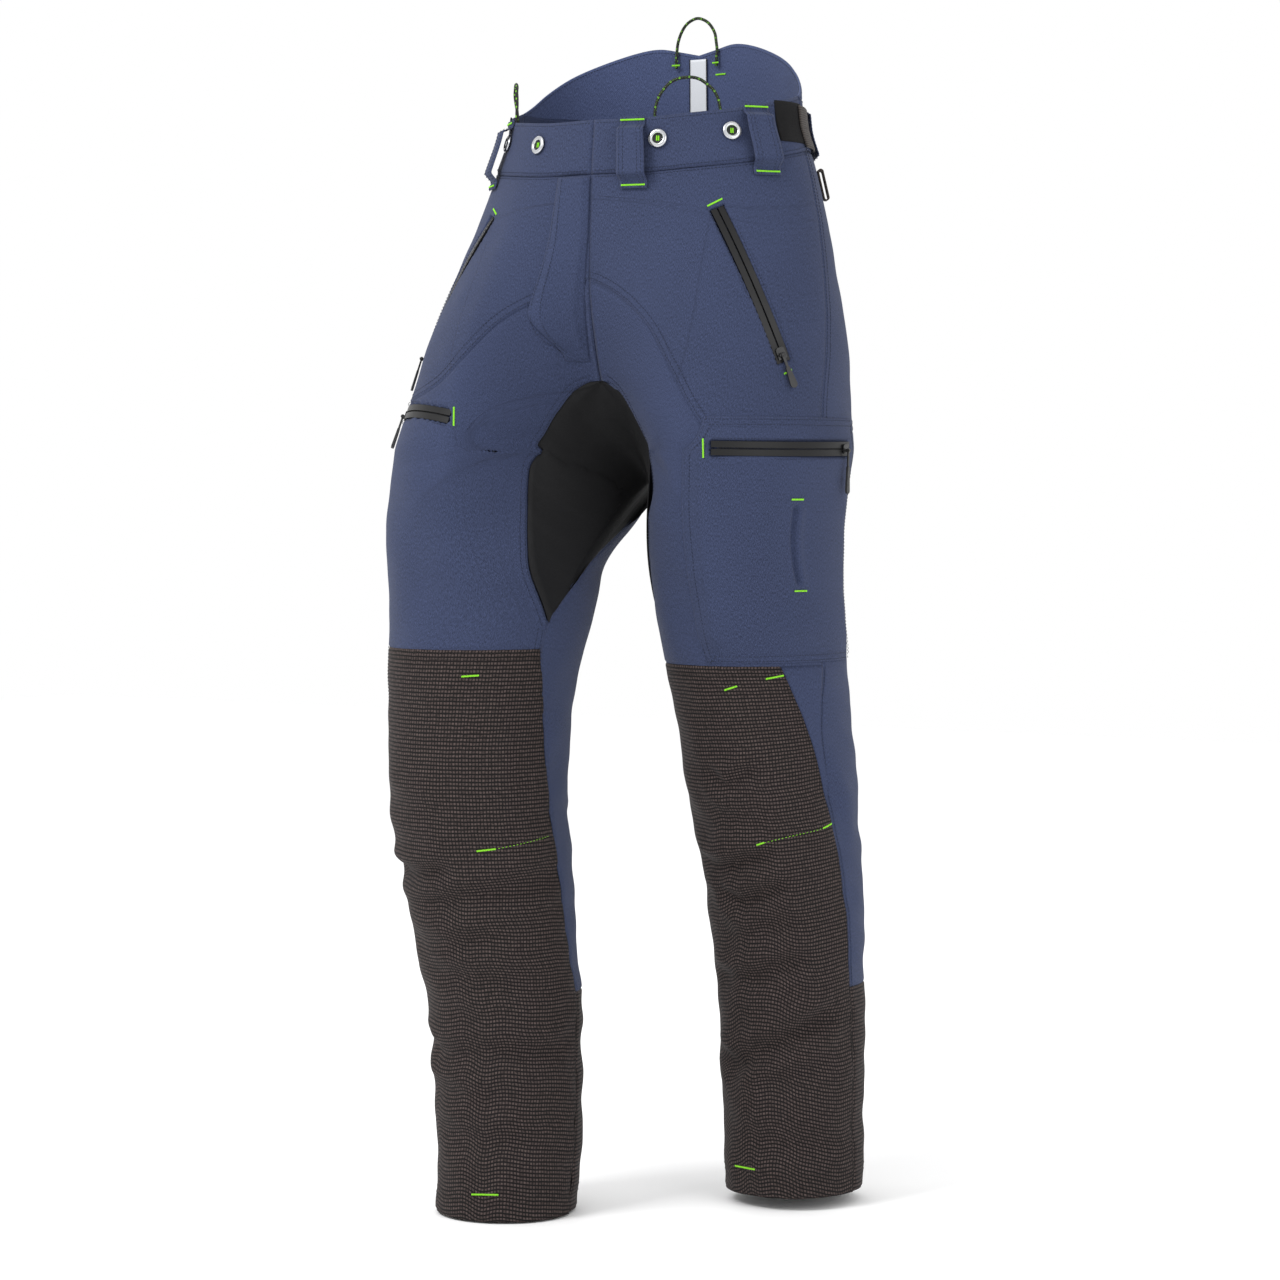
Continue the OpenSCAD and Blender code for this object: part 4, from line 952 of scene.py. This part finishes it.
class TROUSERS_OT_panels(bpy.types.Operator):
    """Make the sewn outer panels of both legs, the hips and the seat"""

    bl_idname = "trousers.panels"
    bl_label = "Cloth panels"

    def execute(self, context):
        blue, check = MATERIALS["blue"], MATERIALS["check"]
        for side in (LEFT, RIGHT):
            tag = side_name(side)
            kz, hz, seam = KNEE_Z[side], HEM_Z[side], HIP_SEAM[side]
            tops = [[SIDE_U * i / 6, float(band_top(SIDE_U * i / 6)) - BAND_H] for i in range(7)]
            windows = [(HIP_ZIP[side], 6.4)] + ([(FLY_CUT, 9.5)] if side == RIGHT else [])
            made = [
                ("front_hip_panel_", [[0, tops[0][1]], [0, -148]], [[SIDE_U, tops[-1][1]], seam[-1]],
                 tops, seam, grid(430, 430), blue, windows),
                ("front_thigh_panel_", [[0, -148], [0, -195]] + GUSSET_FRONT + [INSEAM_TOP, [0.055, kz]],
                 [seam[-1], [SIDE_U, kz]], seam, [[0.055, kz], [SIDE_U, kz]], grid(330, 340), blue,
                 [(THIGH_ZIP, 6.4), (FLY_CUT, 9.5)] if side == RIGHT else []),
                ("knee_shin_panel_", [[0.055, kz]] + INNER_LOW[1:] + [[-0.028, (hz + CALF_Z) / 2], [HEM_U[0], hz]],
                 [[0.385, kz]] + OUTER_LOW[1:] + [[0.49, -865], [0.495, (hz + CALF_Z) / 2 - 40], [HEM_U[1], hz]],
                 [[0.055, kz], [0.385, kz]], [[HEM_U[0], hz], [HEM_U[1], hz]], grid(250, 540), check, []),
                ("back_leg_panel_", [[SIDE_U, -300], [SIDE_U, -400]] + SIDE_LOW,
                 GUSSET_BACK + shifted([INSEAM_TOP, [0.055, kz]]) + shifted(INNER_LOW[1:]), SEAT_SEAM,
                 [[0.486, CALF_Z], [0.96, CALF_Z]], grid(270, 540), blue, []),
                ("lower_back_panel_", [[0.486, CALF_Z], [0.49, -865], [0.495, (hz + CALF_Z) / 2 - 40], [HEM_U[1], hz]],
                 [[0.96, CALF_Z], [0.972, (hz + CALF_Z) / 2], [1 + HEM_U[0], hz]],
                 [[0.486, CALF_Z], [0.96, CALF_Z]], [[HEM_U[1], hz], [1 + HEM_U[0], hz]], grid(230, 205), check, []),
                ("seat_panel_", [[SIDE_U, tops[-1][1]], [SIDE_U, -300]], [[1, -25], [1, -248]],
                 [[SIDE_U, tops[-1][1]], [0.6, -25], [0.8, -25], [1, -25]], SEAT_SEAM, grid(300, 270), blue, []),
            ]
            for name, l, r, t, b, (cols, rows), material, cuts in made:
                obj = panel(name + tag + "_cloth", side, l, r, t, b, cols, rows, material, cuts)
                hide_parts(name + tag)
                declare_sheet(obj)
            front_edge = [[0.384, kz], [0.4245, -572], [0.4515, -640]]
            back_edge = [[0.472, kz], [0.455, -540], [0.449, -580], [0.4545, -640]]
            dart = sheet("knee_dart_" + tag + "_cloth", side, lambda s, v: np.moveaxis(patch(
                front_edge, back_edge, [front_edge[0], back_edge[0]], [front_edge[-1], back_edge[-1]], s, v), -1, 0),
                         16, 44, -1.3, -0.3, blue, edge=1.0, drop=0.5)
            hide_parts("knee_dart_" + tag)
            declare_sheet(dart)
        return {"FINISHED"}


SETTLE_PASSES = 140


def half_area(obj):
    """Area of one face of a thin closed sheet, in square metres."""
    return sum(p.area for p in obj.data.polygons) / 2


def declare_sheet(obj):
    """Works out the flat size of a cloth piece, its longest row and column and the area that it fills, and keeps none
    of it.
    """
    width, length = (round(float(x) * MM, 3) for x in FLAT[obj.name])
    area = half_area(obj)
    filled = area / (width * length)
    if filled > 1:
        width = width * filled + 0.001
    elif filled < 0.4:
        width, length = (round(x * math.sqrt(filled / 0.4), 3) for x in (width, length))


class TROUSERS_OT_gusset(bpy.types.Operator):
    """Make the stretch gusset that joins both legs under the fork"""

    bl_idname = "trousers.gusset"
    bl_label = "Crotch gusset"

    def execute(self, context):
        half_cols, half_rows = 26, 48
        q = np.linspace(-1, 1, 2 * half_cols + 1)
        s = np.linspace(-1, 1, 2 * half_rows + 1)
        points = np.zeros((len(s), len(q), 3))
        for i, along in enumerate(s):
            centre = np.array([0, mix(FORK_Z, -241, -along)]) if along < 0 else np.array([1, mix(FORK_Z, -251, along)])
            edge = curve(GUSSET_FRONT, 1 + along) if along < 0 else curve(GUSSET_BACK, 1 - along)
            for side in (LEFT, RIGHT):
                cells = (q >= 0) if side == LEFT else (q < 0)
                at = centre + (edge - centre) * np.abs(q[cells])[:, None] * 1.004
                points[i, cells] = skin(side, at[:, 0], at[:, 1])
        for _ in range(SETTLE_PASSES):
            points[1:-1, 1:-1] = (points[2:, 1:-1] + points[:-2, 1:-1] + points[1:-1, 2:] + points[1:-1, :-2]) / 4
        normal = np.cross(np.gradient(points, axis=1), np.gradient(points, axis=0))
        normal /= np.maximum(np.linalg.norm(normal, axis=-1, keepdims=True), 1e-6)
        normal *= np.where(normal[..., 2:] > 0, -1, 1)
        to_edge = (1 - np.abs(q))[None, :] * 90
        dip = 0.9 * (1 - smooth(to_edge / 5))
        outer = points - (0.15 + dip)[..., None] * normal
        verts, faces, uv = shell(outer, outer - 1.0 * normal)
        faces = outward(verts, faces)
        FLAT["crotch_gusset_cloth"] = steps(np.swapaxes(outer, 0, 1)).max(), steps(outer).max()
        obj = new_object("crotch_gusset_cloth", verts, faces, MATERIALS["gusset"], uv=uv)
        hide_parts("crotch_gusset")
        declare_sheet(obj)
        return {"FINISHED"}


class TROUSERS_OT_waist(bpy.types.Operator):
    """Make the waistband, the raised back and the fly facing"""

    bl_idname = "trousers.waist"
    bl_label = "Waist"

    def execute(self, context):
        blue = MATERIALS["blue"]

        def ring_u(s):
            w = mix(0.505, 1.495, s)
            return w, np.where(w < 1, w, 2 - w)

        def yoke(s, v):
            w, u = ring_u(s)
            return w, mix(rim_z(u), 24.0, v)

        def back_band(s, v):
            return ring_u(s)[0], mix(25.4, -24.8, v)

        pieces = [
            ("back_yoke", RING, yoke, grid(520, 70)),
            ("back_waistband", RING, back_band, grid(520, 50)),
        ]
        for side in (LEFT, RIGHT):
            pieces.append(("front_waistband_" + side_name(side), side, lambda s, v: (
                mix(0.0, 0.503, s), band_top(np.minimum(mix(0.0, 0.503, s), 0.4999)) - v * (BAND_H - 0.2)), grid(260, 50)))
        for name, side, place, (cols, rows) in pieces:
            # The back yoke takes the lighter copy of the twill: painted light on the same cloth, not a different
            # fabric
            twill = MATERIALS["blue_back"] if name == "back_yoke" else blue
            obj = sheet(name + "_cloth", side, place, cols, rows, -1.2, 1.2, twill, folded=False,
                        edge=1.8, drop=1.1)
            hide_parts(name)
            declare_sheet(obj)

        def flap(s, v):
            return mix(0.002, mix(0.068, 0.022, smooth((v - 0.72) / 0.28)), s), mix(-52, -222, v)

        def rise(s, v):
            across = smooth(np.minimum(s, 1 - s) * 5)
            return 1.2 + 3.0 * across * smooth((1 - v) * 8) * smooth(v * 30 + 0.4)

        obj = sheet("fly_facing_cloth", RIGHT, flap, 26, 70, lambda s, v: rise(s, v) - 1.0, rise, blue,
                    folded=False, edge=1.2, drop=0.8)
        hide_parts("fly_facing")
        declare_sheet(obj)
        return {"FINISHED"}


def pad_face(z):
    return -8.5 + 5.3 * smooth((-330 - z) / 60)


class TROUSERS_OT_inside(bpy.types.Operator):
    """Make the cut pads, the leg linings and the turned-up hems"""

    bl_idname = "trousers.inside"
    bl_label = "Inner layers"

    def execute(self, context):
        inner_edge = [[0.06, -200], [0.12, -262], [0.2, -322], [0.16, -392], [0.1, -470],
                      [0.07, -600], [0.06, -780], [0.06, -960]]
        for side in (LEFT, RIGHT):
            tag = side_name(side)
            hz = HEM_Z[side]

            def pad_place(s, v):
                q = curve(inner_edge, v)
                return mix(q[..., 0], 0.45, s), q[..., 1]

            def quilt(s, v):
                z = pad_place(s, v)[1]
                line = np.abs(((z / 60.0) % 1) - 0.5) * 2
                return pad_face(z) - 1.4 * (1 - smooth(line * 6))

            pad = sheet("cut_pad_" + tag + "_quilt", side, pad_place, 60, 190,
                        lambda s, v: 2 * pad_face(pad_place(s, v)[1]) - 6.0 - quilt(s, v),
                        quilt, MATERIALS["pad"], edge=5, drop=2.4)
            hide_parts("cut_pad_" + tag)

            def lining_n(s, v):
                z = mix(-332, hz + 30, v)
                return pad_face(z) - 7.6 + 0.4 * np.sin(s * 40 * np.pi) * np.sin(v * 17)

            lining = sheet("leg_lining_" + tag + "_mesh", side, lambda s, v: (s, mix(-332, hz + 30, v)), 80, 110,
                           lambda s, v: lining_n(s, v) - 0.6, lining_n, MATERIALS["lining"],
                           closed=True, drop=0.2)
            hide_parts("leg_lining_" + tag)
            declare_sheet(lining)
        for side in (LEFT, RIGHT):
            hz = HEM_Z[side]
            hem = sheet("hem_facing_" + side_name(side) + "_cloth", side,
                        lambda s, v: (s, mix(hz + 26, hz + 0.4, v)), 130, 8, -2.6, -1.5, MATERIALS["check"],
                        closed=True, drop=0.3)
            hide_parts("hem_facings")
            declare_sheet(hem)
        return {"FINISHED"}


POCKET_U = (0.245, 0.575)
POCKET_Z = (-274, -500)
SLIT_U = 0.428
SLIT_Z = (-352, -428)


def pocket_rise(s, v):
    return smooth(np.minimum(np.minimum(np.minimum(s, 1 - s) * 7, np.minimum(v, 1 - v) * 6), 1))


class TROUSERS_OT_pocket(bpy.types.Operator):
    """Make the cargo pocket with its slit"""

    bl_idname = "trousers.pocket"
    bl_label = "Cargo pocket"

    def execute(self, context):
        def place(s, v):
            corner = 0.014 * smooth(1 - np.minimum(1, 8 * (1 - v)))
            return mix(POCKET_U[0] + corner, POCKET_U[1] - corner, s), mix(*POCKET_Z, v)

        def face(s, v):
            u, z = place(s, v)
            n = 1.4 + (POCKET_OUT - 1.4) * pocket_rise(s, v)
            middle = (SLIT_Z[0] + SLIT_Z[1]) / 2
            along = 1 - np.abs(z - middle) / 39
            off = (u - SLIT_U) * 470 + 3.0 * (1 - ((z - middle) / 39) ** 2)
            gap = smooth(along * 6) * (1 - smooth((np.abs(off) - 1.0) / 1.4))
            lip = smooth(along * 4) * np.exp(-((off - 4.2) / 3.0) ** 2)
            return n - 3.6 * gap + 1.4 * lip + 0.5 * np.sin(s * 7 + v * 5) * pocket_rise(s, v) * (v > 0.25)

        obj = sheet("cargo_pocket_cloth", LEFT, place, 130, 150, lambda s, v: face(s, v) - 1.0, face,
                    MATERIALS["blue"], windows=[(CARGO_ZIP, 4.6)], edge=1.6, drop=1.0)
        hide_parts("cargo_pocket")
        declare_sheet(obj)
        welt = sheet("slit_pocket_welt_cloth", LEFT, lambda s, v: (
            SLIT_U + mix(0.006, 0.026, s), mix(SLIT_Z[0] - 3, SLIT_Z[1] + 3, v)), 8, 30, 2.6, 3.4,
            MATERIALS["blue"], edge=1.0, drop=0.5)
        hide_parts("slit_pocket_welt")
        declare_sheet(welt)
        return {"FINISHED"}


LOOPS = {
    "left_front": (LEFT, 0.083), "left_side": (LEFT, 0.335), "left_back": (LEFT, 0.66),
    "right_front": (RIGHT, 0.29), "right_back": (RIGHT, 0.66), "centre_back": (RING, 1.0),
}
LOOP_W, LOOP_H, LOOP_GAP, LOOP_END, LOOP_T = 25.0, 66.0, 9.0, 1.8, 1.4


def loop_span(side, u):
    """Half width in u and the top of a belt loop."""
    top = float(band_top(u if u < 1 else 2 - u)) + 1
    rate = np.linalg.norm(spot(side, u + 0.01, top - 25) - spot(side, u - 0.01, top - 25)) / 0.02
    return LOOP_W / 2 / rate, top


def loop_rise(v):
    return LOOP_END + LOOP_GAP * smooth(10 * np.minimum(v, 1 - v) - 1)


class TROUSERS_OT_loops(bpy.types.Operator):
    """Make the belt loops and the tool loop"""

    bl_idname = "trousers.loops"
    bl_label = "Belt loops"

    def execute(self, context):
        for name, (side, u) in LOOPS.items():
            half, top = loop_span(side, u)
            obj = sheet("belt_loop_" + name + "_cloth", side,
                        lambda s, v: (mix(u - half, u + half, s), mix(top, top - LOOP_H, v)), 12, 44,
                        lambda s, v: loop_rise(v), lambda s, v: loop_rise(v) + LOOP_T, MATERIALS["blue"],
                        folded=False, edge=1.6, drop=0.7)
            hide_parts("belt_loop_" + name)
            declare_sheet(obj)
        obj = frame["nodes"]["tool_loop_left"]
        obj.data.materials.clear()
        obj.data.materials.append(ribbed_solid())
        return {"FINISHED"}


def ribbed_solid():
    """Webbing for the tool loop, whose solid has no pattern coordinates."""
    return plain_cloth("tool_loop_webbing", (0.040, 0.030, 0.026), 900, 0.8, 0.7, 0.0005, "object")


class TROUSERS_OT_adjusters(bpy.types.Operator):
    """Make the waist adjusters and the reflective strip"""

    bl_idname = "trousers.adjusters"
    bl_label = "Adjusters"

    def execute(self, context):
        for side in (LEFT, RIGHT):
            tag = side_name(side)
            patch_obj = sheet("adjuster_patch_" + tag + "_pile", side,
                              lambda s, v: (mix(0.385, 0.5, s), mix(17, -21, v)), 40, 24, 1.3, 2.5,
                              MATERIALS["pile"], folded=False, edge=0.8, drop=0.4)
            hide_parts("adjuster_patch_" + tag)
            declare_sheet(patch_obj)
            tab = sheet("adjuster_tab_" + tag + "_web", side,
                        lambda s, v: (mix(0.475, 0.6, s), mix(15, -25, v)), 44, 28, 3.0,
                        lambda s, v: 4.8 - 0.35 * (np.abs(np.sin(v * 12 * np.pi)) < 0.35),
                        MATERIALS["webbing"], "adjuster_" + tag, folded=False, edge=0.8, drop=0.5)
            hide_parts("adjuster_tab_" + tag)
            declare_sheet(tab)
        strip = sheet("reflective_strip_tape", RING, lambda s, v: (mix(0.98, 1.02, s), mix(82, -60, v)), 10, 60,
                      -2.7, -1.7, MATERIALS["tape_light"], folded=False, edge=0.5, drop=0.2)
        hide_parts("reflective_strip")
        declare_sheet(strip)
        edges = []
        for w in (0.9795, 1.0205):
            z = np.linspace(82, -60, 50)
            edges.append((lifted(RING, np.full(50, w), z, -2.8), -face_at(RING, np.full(50, w), z)[1]))
        bars("reflective_strip_edges", edges, 1.6, 2.2, 1.1, MATERIALS["gusset"], scatter=0.0)
        return {"FINISHED"}


BUTTON_SPOTS = [(side, u) for side in (LEFT, RIGHT) for u in (0.13, 0.275)]


def cloth_axes(side, u, z):
    p, n = face_at(side, u, z)
    x = np.cross([0, 0, 1.0], n)
    x /= np.linalg.norm(x)
    return p, x, np.cross(n, x), n


def lathe(profile, axes, lift, sides=48):
    """Turned shape about the outward axis; profile is [radius, height] from the axis round to the axis."""
    p, x, y, n = axes
    verts, faces = [], []
    for r, h in profile:
        for j in range(sides):
            a = 2 * math.pi * j / sides
            verts.append((p + (lift + h) * n + max(r, 0.01) * (math.cos(a) * x + math.sin(a) * y)) * MM)
    for i in range(len(profile) - 1):
        for j in range(sides):
            k = (j + 1) % sides
            faces.append((i * sides + j, i * sides + k, (i + 1) * sides + k, (i + 1) * sides + j))
    last = (len(profile) - 1) * sides
    faces += [tuple(reversed(range(sides))), tuple(range(last, last + sides))]
    return verts, faces


def join_parts(parts):
    verts, faces = [], []
    for v, f in parts:
        start = len(verts)
        verts += list(v)
        faces += [tuple(start + i for i in q) for q in f]
    return np.array(verts), faces


class TROUSERS_OT_buttons(bpy.types.Operator):
    """Make the brace buttons with their dark centres and thread"""

    bl_idname = "trousers.buttons"
    bl_label = "Brace buttons"

    def execute(self, context):
        rims, centres, threads = [], [], []
        ring = [[4.6, 0.9], [4.7, 2.4], [5.2, 3.1], [6.0, 3.35], [7.2, 3.2], [8.2, 2.7], [8.7, 2.0], [8.6, 1.4],
                [7.8, 1.0], [6.0, 0.8], [4.6, 0.9]]
        dish = [[0, 0.0], [4.4, 0.0], [5.0, 0.8], [5.0, 1.7], [3.4, 1.5], [2.0, 1.1], [0, 1.0]]
        for side, u in BUTTON_SPOTS:
            z = float(band_top(u)) - 21.0
            axes = cloth_axes(side, u, z)
            p, x, y, n = axes
            v, f = lathe(ring, axes, 1.5)
            rims.append((v, f[:-2]))
            centres.append(lathe(dish, axes, 1.45))
            for off in (-0.9, 0.9):
                line = np.linspace(-2.1, 2.1, 12)[:, None]
                threads.append((p + 2.95 * n + line * y + off * x, n))
        verts, faces = join_parts(rims)
        obj = new_object("brace_button_rims", verts, faces, MATERIALS["steel"])
        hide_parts("brace_buttons")
        verts, faces = join_parts(centres)
        new_object("brace_button_centres", verts, faces, MATERIALS["centre"])
        bars("brace_button_threads", threads, 0.45, 1.7, 0.7, MATERIALS["green"], turn=90)
        return {"FINISHED"}


TACKS = [
    (LEFT, 0.212, -985, 0, 26, 0), (RIGHT, 0.205, -996, 2, 26, 0),
    (LEFT, SLIT_U, SLIT_Z[0] + 4, 0, 14, 7.3), (LEFT, SLIT_U, SLIT_Z[1] - 4, 0, 14, 8.2),
    (LEFT, 0.278, -302, 90, 17, 7.0), (RIGHT, 0.157, -273, 90, 17, 0),
    (LEFT, 0.226, -79, 27, 15, 0), (LEFT, 0.381, -233, 27, 9, 0),
    (RIGHT, 0.226, -79, -27, 15, 0), (RIGHT, 0.381, -233, -27, 9, 0),
]


def tack_path(side, u, z, turn, length, n, flat=False):
    """A short straight run centred on a place of the cloth."""
    p, x, y, m = cloth_axes(side, u, z)
    a = math.radians(turn)
    along = math.cos(a) * x + math.sin(a) * y
    t = np.linspace(-length / 2, length / 2, 9)[:, None]
    lift = n + (0.0 if flat else float(fold(side, np.array(u), np.array(float(z)), p)))
    return p + (lift + 0.35) * m + t * along, np.broadcast_to(m, (9, 3))


class TROUSERS_OT_tacks(bpy.types.Operator):
    """Make the bright bar tacks"""

    bl_idname = "trousers.tacks"
    bl_label = "Bar tacks"

    def execute(self, context):
        paths = [tack_path(*t) for t in TACKS]
        for name, (side, u) in LOOPS.items():
            if side == RING:
                continue
            top = loop_span(side, u)[1]
            for down in (3, LOOP_H - 3):
                paths.append(tack_path(side, u, top - down, 0, 23, LOOP_END + LOOP_T - 0.1, True))
        for side, a, b in ((LEFT, [0.278, -525], [0.302, -521]), (RIGHT, [0.183, -511], [0.155, -510]),
                           (LEFT, [0.296, -671], [0.310, -669]), (RIGHT, [0.162, -672], [0.128, -670]),
                           (LEFT, [0.355, -514], [0.386, -511]), (LEFT, [0.428, -656], [0.452, -653])):
            paths.append(seam_path(side, [a, b], 0.35, step=2))
        for w, z, length, n in ((0.945, 66, 12, -1.4), (0.995, 62, 12, -1.4)):
            p, x, y, m = cloth_axes(RING, w, z)
            t = np.linspace(-length / 2, length / 2, 7)[:, None]
            paths.append((p + n * m - 0.3 * m + t * x, np.broadcast_to(-m, (7, 3))))
        for route in CORDS.values():
            for end in (np.array(route[0], float), np.array(route[-1], float)):
                out = np.array([end[0] + 40, end[1], 0]) / math.hypot(end[0] + 40, end[1])
                if end[1] > 0:
                    out = -out
                t = np.linspace(-4, 4, 7)[:, None]
                paths.append((end + [0, 0, 3] + 1.7 * out + t * np.cross([0, 0, 1.0], out),
                              np.broadcast_to(out, (7, 3))))
        obj = bars("bar_tack_threads", paths, 0.42, 2.1, 0.62, MATERIALS["green"], turn=90, scatter=0.12)
        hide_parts("bar_tacks")
        tucks = [seam_path(LEFT, [[0.312, -669], [0.428, -656]], 0.3), seam_path(RIGHT, [[0.128, -670], [0.02, -661]], 0.3)]
        bars("tuck_stitches", tucks, 3.4, 2.0, 0.6, MATERIALS["green"])
        return {"FINISHED"}


class TROUSERS_OT_stitches(bpy.types.Operator):
    """Run the topstitching along the seams"""

    bl_idname = "trousers.stitches"
    bl_label = "Topstitching"

    def execute(self, context):
        pitch = settings().stitch / MM
        navy, dark = [], []
        for side in (LEFT, RIGHT):
            kz, hz, seam = KNEE_Z[side], HEM_Z[side], HIP_SEAM[side]
            sign = 1 if side == LEFT else -1
            for d in (2.6, 8.0):
                navy.append(seam_path(side, seam, 0.1, d * sign))
                navy.append(seam_path(side, SEAT_SEAM, 0.1, d * sign))
                navy.append(seam_path(side, [[SIDE_U, -25]] + [[SIDE_U, -300]], 0.1, d * sign))
                navy.append(seam_path(side, GUSSET_FRONT, 0.1, d * sign, (0.02, 1)))
                navy.append(seam_path(side, [[0.055, -470], [0.055, kz]], 0.1, d * sign))
            navy.append(seam_path(side, [[SIDE_U, -505]] + SIDE_LOW[1:], 0.1, 2.6 * sign))
            dark.append(seam_path(side, [[0.055, kz], [0.385, kz]], 0.1, -3.0 * sign))
            dark.append(seam_path(side, [[0.055, kz], [0.385, kz]], 0.1, -8.5 * sign))
            outer = [[0.385, kz]] + OUTER_LOW[1:] + [[0.49, -865], [0.5, hz]]
            inner = [[0.055, kz]] + INNER_LOW[1:] + [[-0.028, (hz + CALF_Z) / 2], [HEM_U[0], hz]]
            dark.append(seam_path(side, outer, 0.1, -2.6 * sign))
            dark.append(seam_path(side, inner, 0.1, 2.6 * sign))
            for lift in (16, 22):
                around = [[u, hz + lift] for u in np.linspace(0.0, 1.0, 13)]
                dark.append(seam_path(side, around, 0.1))
        for side in (LEFT, RIGHT):
            for down, lift in ((3.0, 1.25), (BAND_H - 3.0, 1.25), (BAND_H + 2.6, 0.15)):
                line = [[u, float(band_top(u)) - down] for u in np.linspace(0.01, 0.49, 10)]
                navy.append(seam_path(side, line, lift))
            for down in (3.0, BAND_H - 3.0):
                line = [[u, 25 - down] for u in np.linspace(0.51, 1.0, 10)]
                navy.append(seam_path(side, line, 1.25))
            top = [[u, float(rim_z(u)) - 3.0] for u in np.linspace(0.51, 0.995, 16)]
            navy.append(seam_path(side, top, 1.25))
            navy.append(seam_path(side, top, -1.35))
        for name, (side, u) in LOOPS.items():
            half, top = loop_span(side, u)
            v = np.linspace(0.02, 0.98, 40)
            for across in (-0.78, -0.5, 0.5, 0.78):
                z = top - LOOP_H * v
                p, m = face_at(side, np.full(40, u + across * half), z)
                navy.append((p + (loop_rise(v) + LOOP_T + 0.05)[:, None] * m, m))
        for inset, lift in ((0.003, 1.5), (0.0135, 4.3)):
            edge = [[0.068 - inset, -56], [0.068 - inset, -120], [0.068 - inset, -172],
                    [0.056 - inset, -196], [0.022, -216 + 200 * inset]]
            navy.append(seam_path(RIGHT, edge, lift))
        for d in (2.5, 7.5):
            u = [0.245 + d / 470, 0.575 - d / 470]
            z = [-274 - d, -500 + d]
            lines = [[[u[0], z[0]], [u[1], z[0]]], [[u[0], z[0]], [u[0] + 0.004, z[1] + 14], [u[0] + 0.016, z[1]]],
                     [[u[0] + 0.016, z[1]], [u[1] - 0.016, z[1]]], [[u[1], z[0]], [u[1], z[1]]]]
            for line in lines:
                rise = 1.55 if d < 4 else 3.4
                navy.append(seam_path(LEFT, line, rise))
        for zip_line in (HIP_ZIP[LEFT], HIP_ZIP[RIGHT], THIGH_ZIP, CARGO_ZIP):
            lift = 0.8
            x = np.linspace(-zip_line.chord / 2 - 3, zip_line.chord / 2 + 3, 60)
            for y in (-TAPE_W / 2 - 2.6, TAPE_W / 2 + 2.6):
                navy.append(zip_line.point(x, y, lift))
        bars("topstitching_blue", navy, pitch, pitch * 0.78, 0.55, MATERIALS["navy"])
        bars("topstitching_check", dark, pitch, pitch * 0.78, 0.55, MATERIALS["dark"])
        return {"FINISHED"}


class TROUSERS_OT_zips(bpy.types.Operator):
    """Finish the zips, their coils, sliders and pull tabs"""

    bl_idname = "trousers.zips"
    bl_label = "Zips"

    def execute(self, context):
        nodes = frame["nodes"]
        for name, node in nodes.items():
            if name in ("hip_zip_left", "hip_zip_right", "cargo_zip", "thigh_zip", "fly_zip"):
                finish = MATERIALS["tape"]
            elif "slider" in name:
                finish = MATERIALS["slider"]
            elif "puller" in name:
                finish = MATERIALS["moulded"]
            else:
                continue
            node.data.materials.clear()
            node.data.materials.append(finish)
        paths = []
        for line in (HIP_ZIP[LEFT], HIP_ZIP[RIGHT], FLY_ZIP, THIGH_ZIP, CARGO_ZIP):
            x = np.linspace(-line.chord / 2 + 1, line.chord / 2 - 1, 70)
            pts, out = line.point(x, 0.0, -2.0)
            paths.append((pts, out))
        bars("zip_coils", paths, 1.35, 4.6, 0.75, MATERIALS["coil"], turn=90, scatter=0.0)
        return {"FINISHED"}


class TROUSERS_PT_panel(bpy.types.Panel):
    """Lists the builders of the trousers"""

    bl_label = "Chainsaw trousers"
    bl_idname = "TROUSERS_PT_panel"
    bl_space_type = "VIEW_3D"
    bl_region_type = "UI"
    bl_category = "Trousers"

    def draw(self, context):
        for name in ("blue", "brown", "green", "stitch", "cell", "camera_distance"):
            self.layout.prop(context.scene.trouser_settings, name)
        for operator in OPERATORS:
            self.layout.operator(operator.bl_idname)


OPERATORS = (
    TROUSERS_OT_stage, TROUSERS_OT_materials, TROUSERS_OT_cords, TROUSERS_OT_panels, TROUSERS_OT_gusset,
    TROUSERS_OT_waist, TROUSERS_OT_inside, TROUSERS_OT_pocket, TROUSERS_OT_loops, TROUSERS_OT_adjusters,
    TROUSERS_OT_buttons, TROUSERS_OT_tacks, TROUSERS_OT_stitches, TROUSERS_OT_zips,
)
CLASSES = (TrouserSettings, *OPERATORS, TROUSERS_PT_panel)


def register():
    for cls in CLASSES:
        bpy.utils.register_class(cls)
    bpy.types.Scene.trouser_settings = bpy.props.PointerProperty(type=TrouserSettings)


def unregister():
    del bpy.types.Scene.trouser_settings
    for cls in reversed(CLASSES):
        bpy.utils.unregister_class(cls)


def main():
    register()
    for operator in OPERATORS:
        group, name = operator.bl_idname.split(".")
        getattr(getattr(bpy.ops, group), name)()


if __name__ == "__main__":
    main()
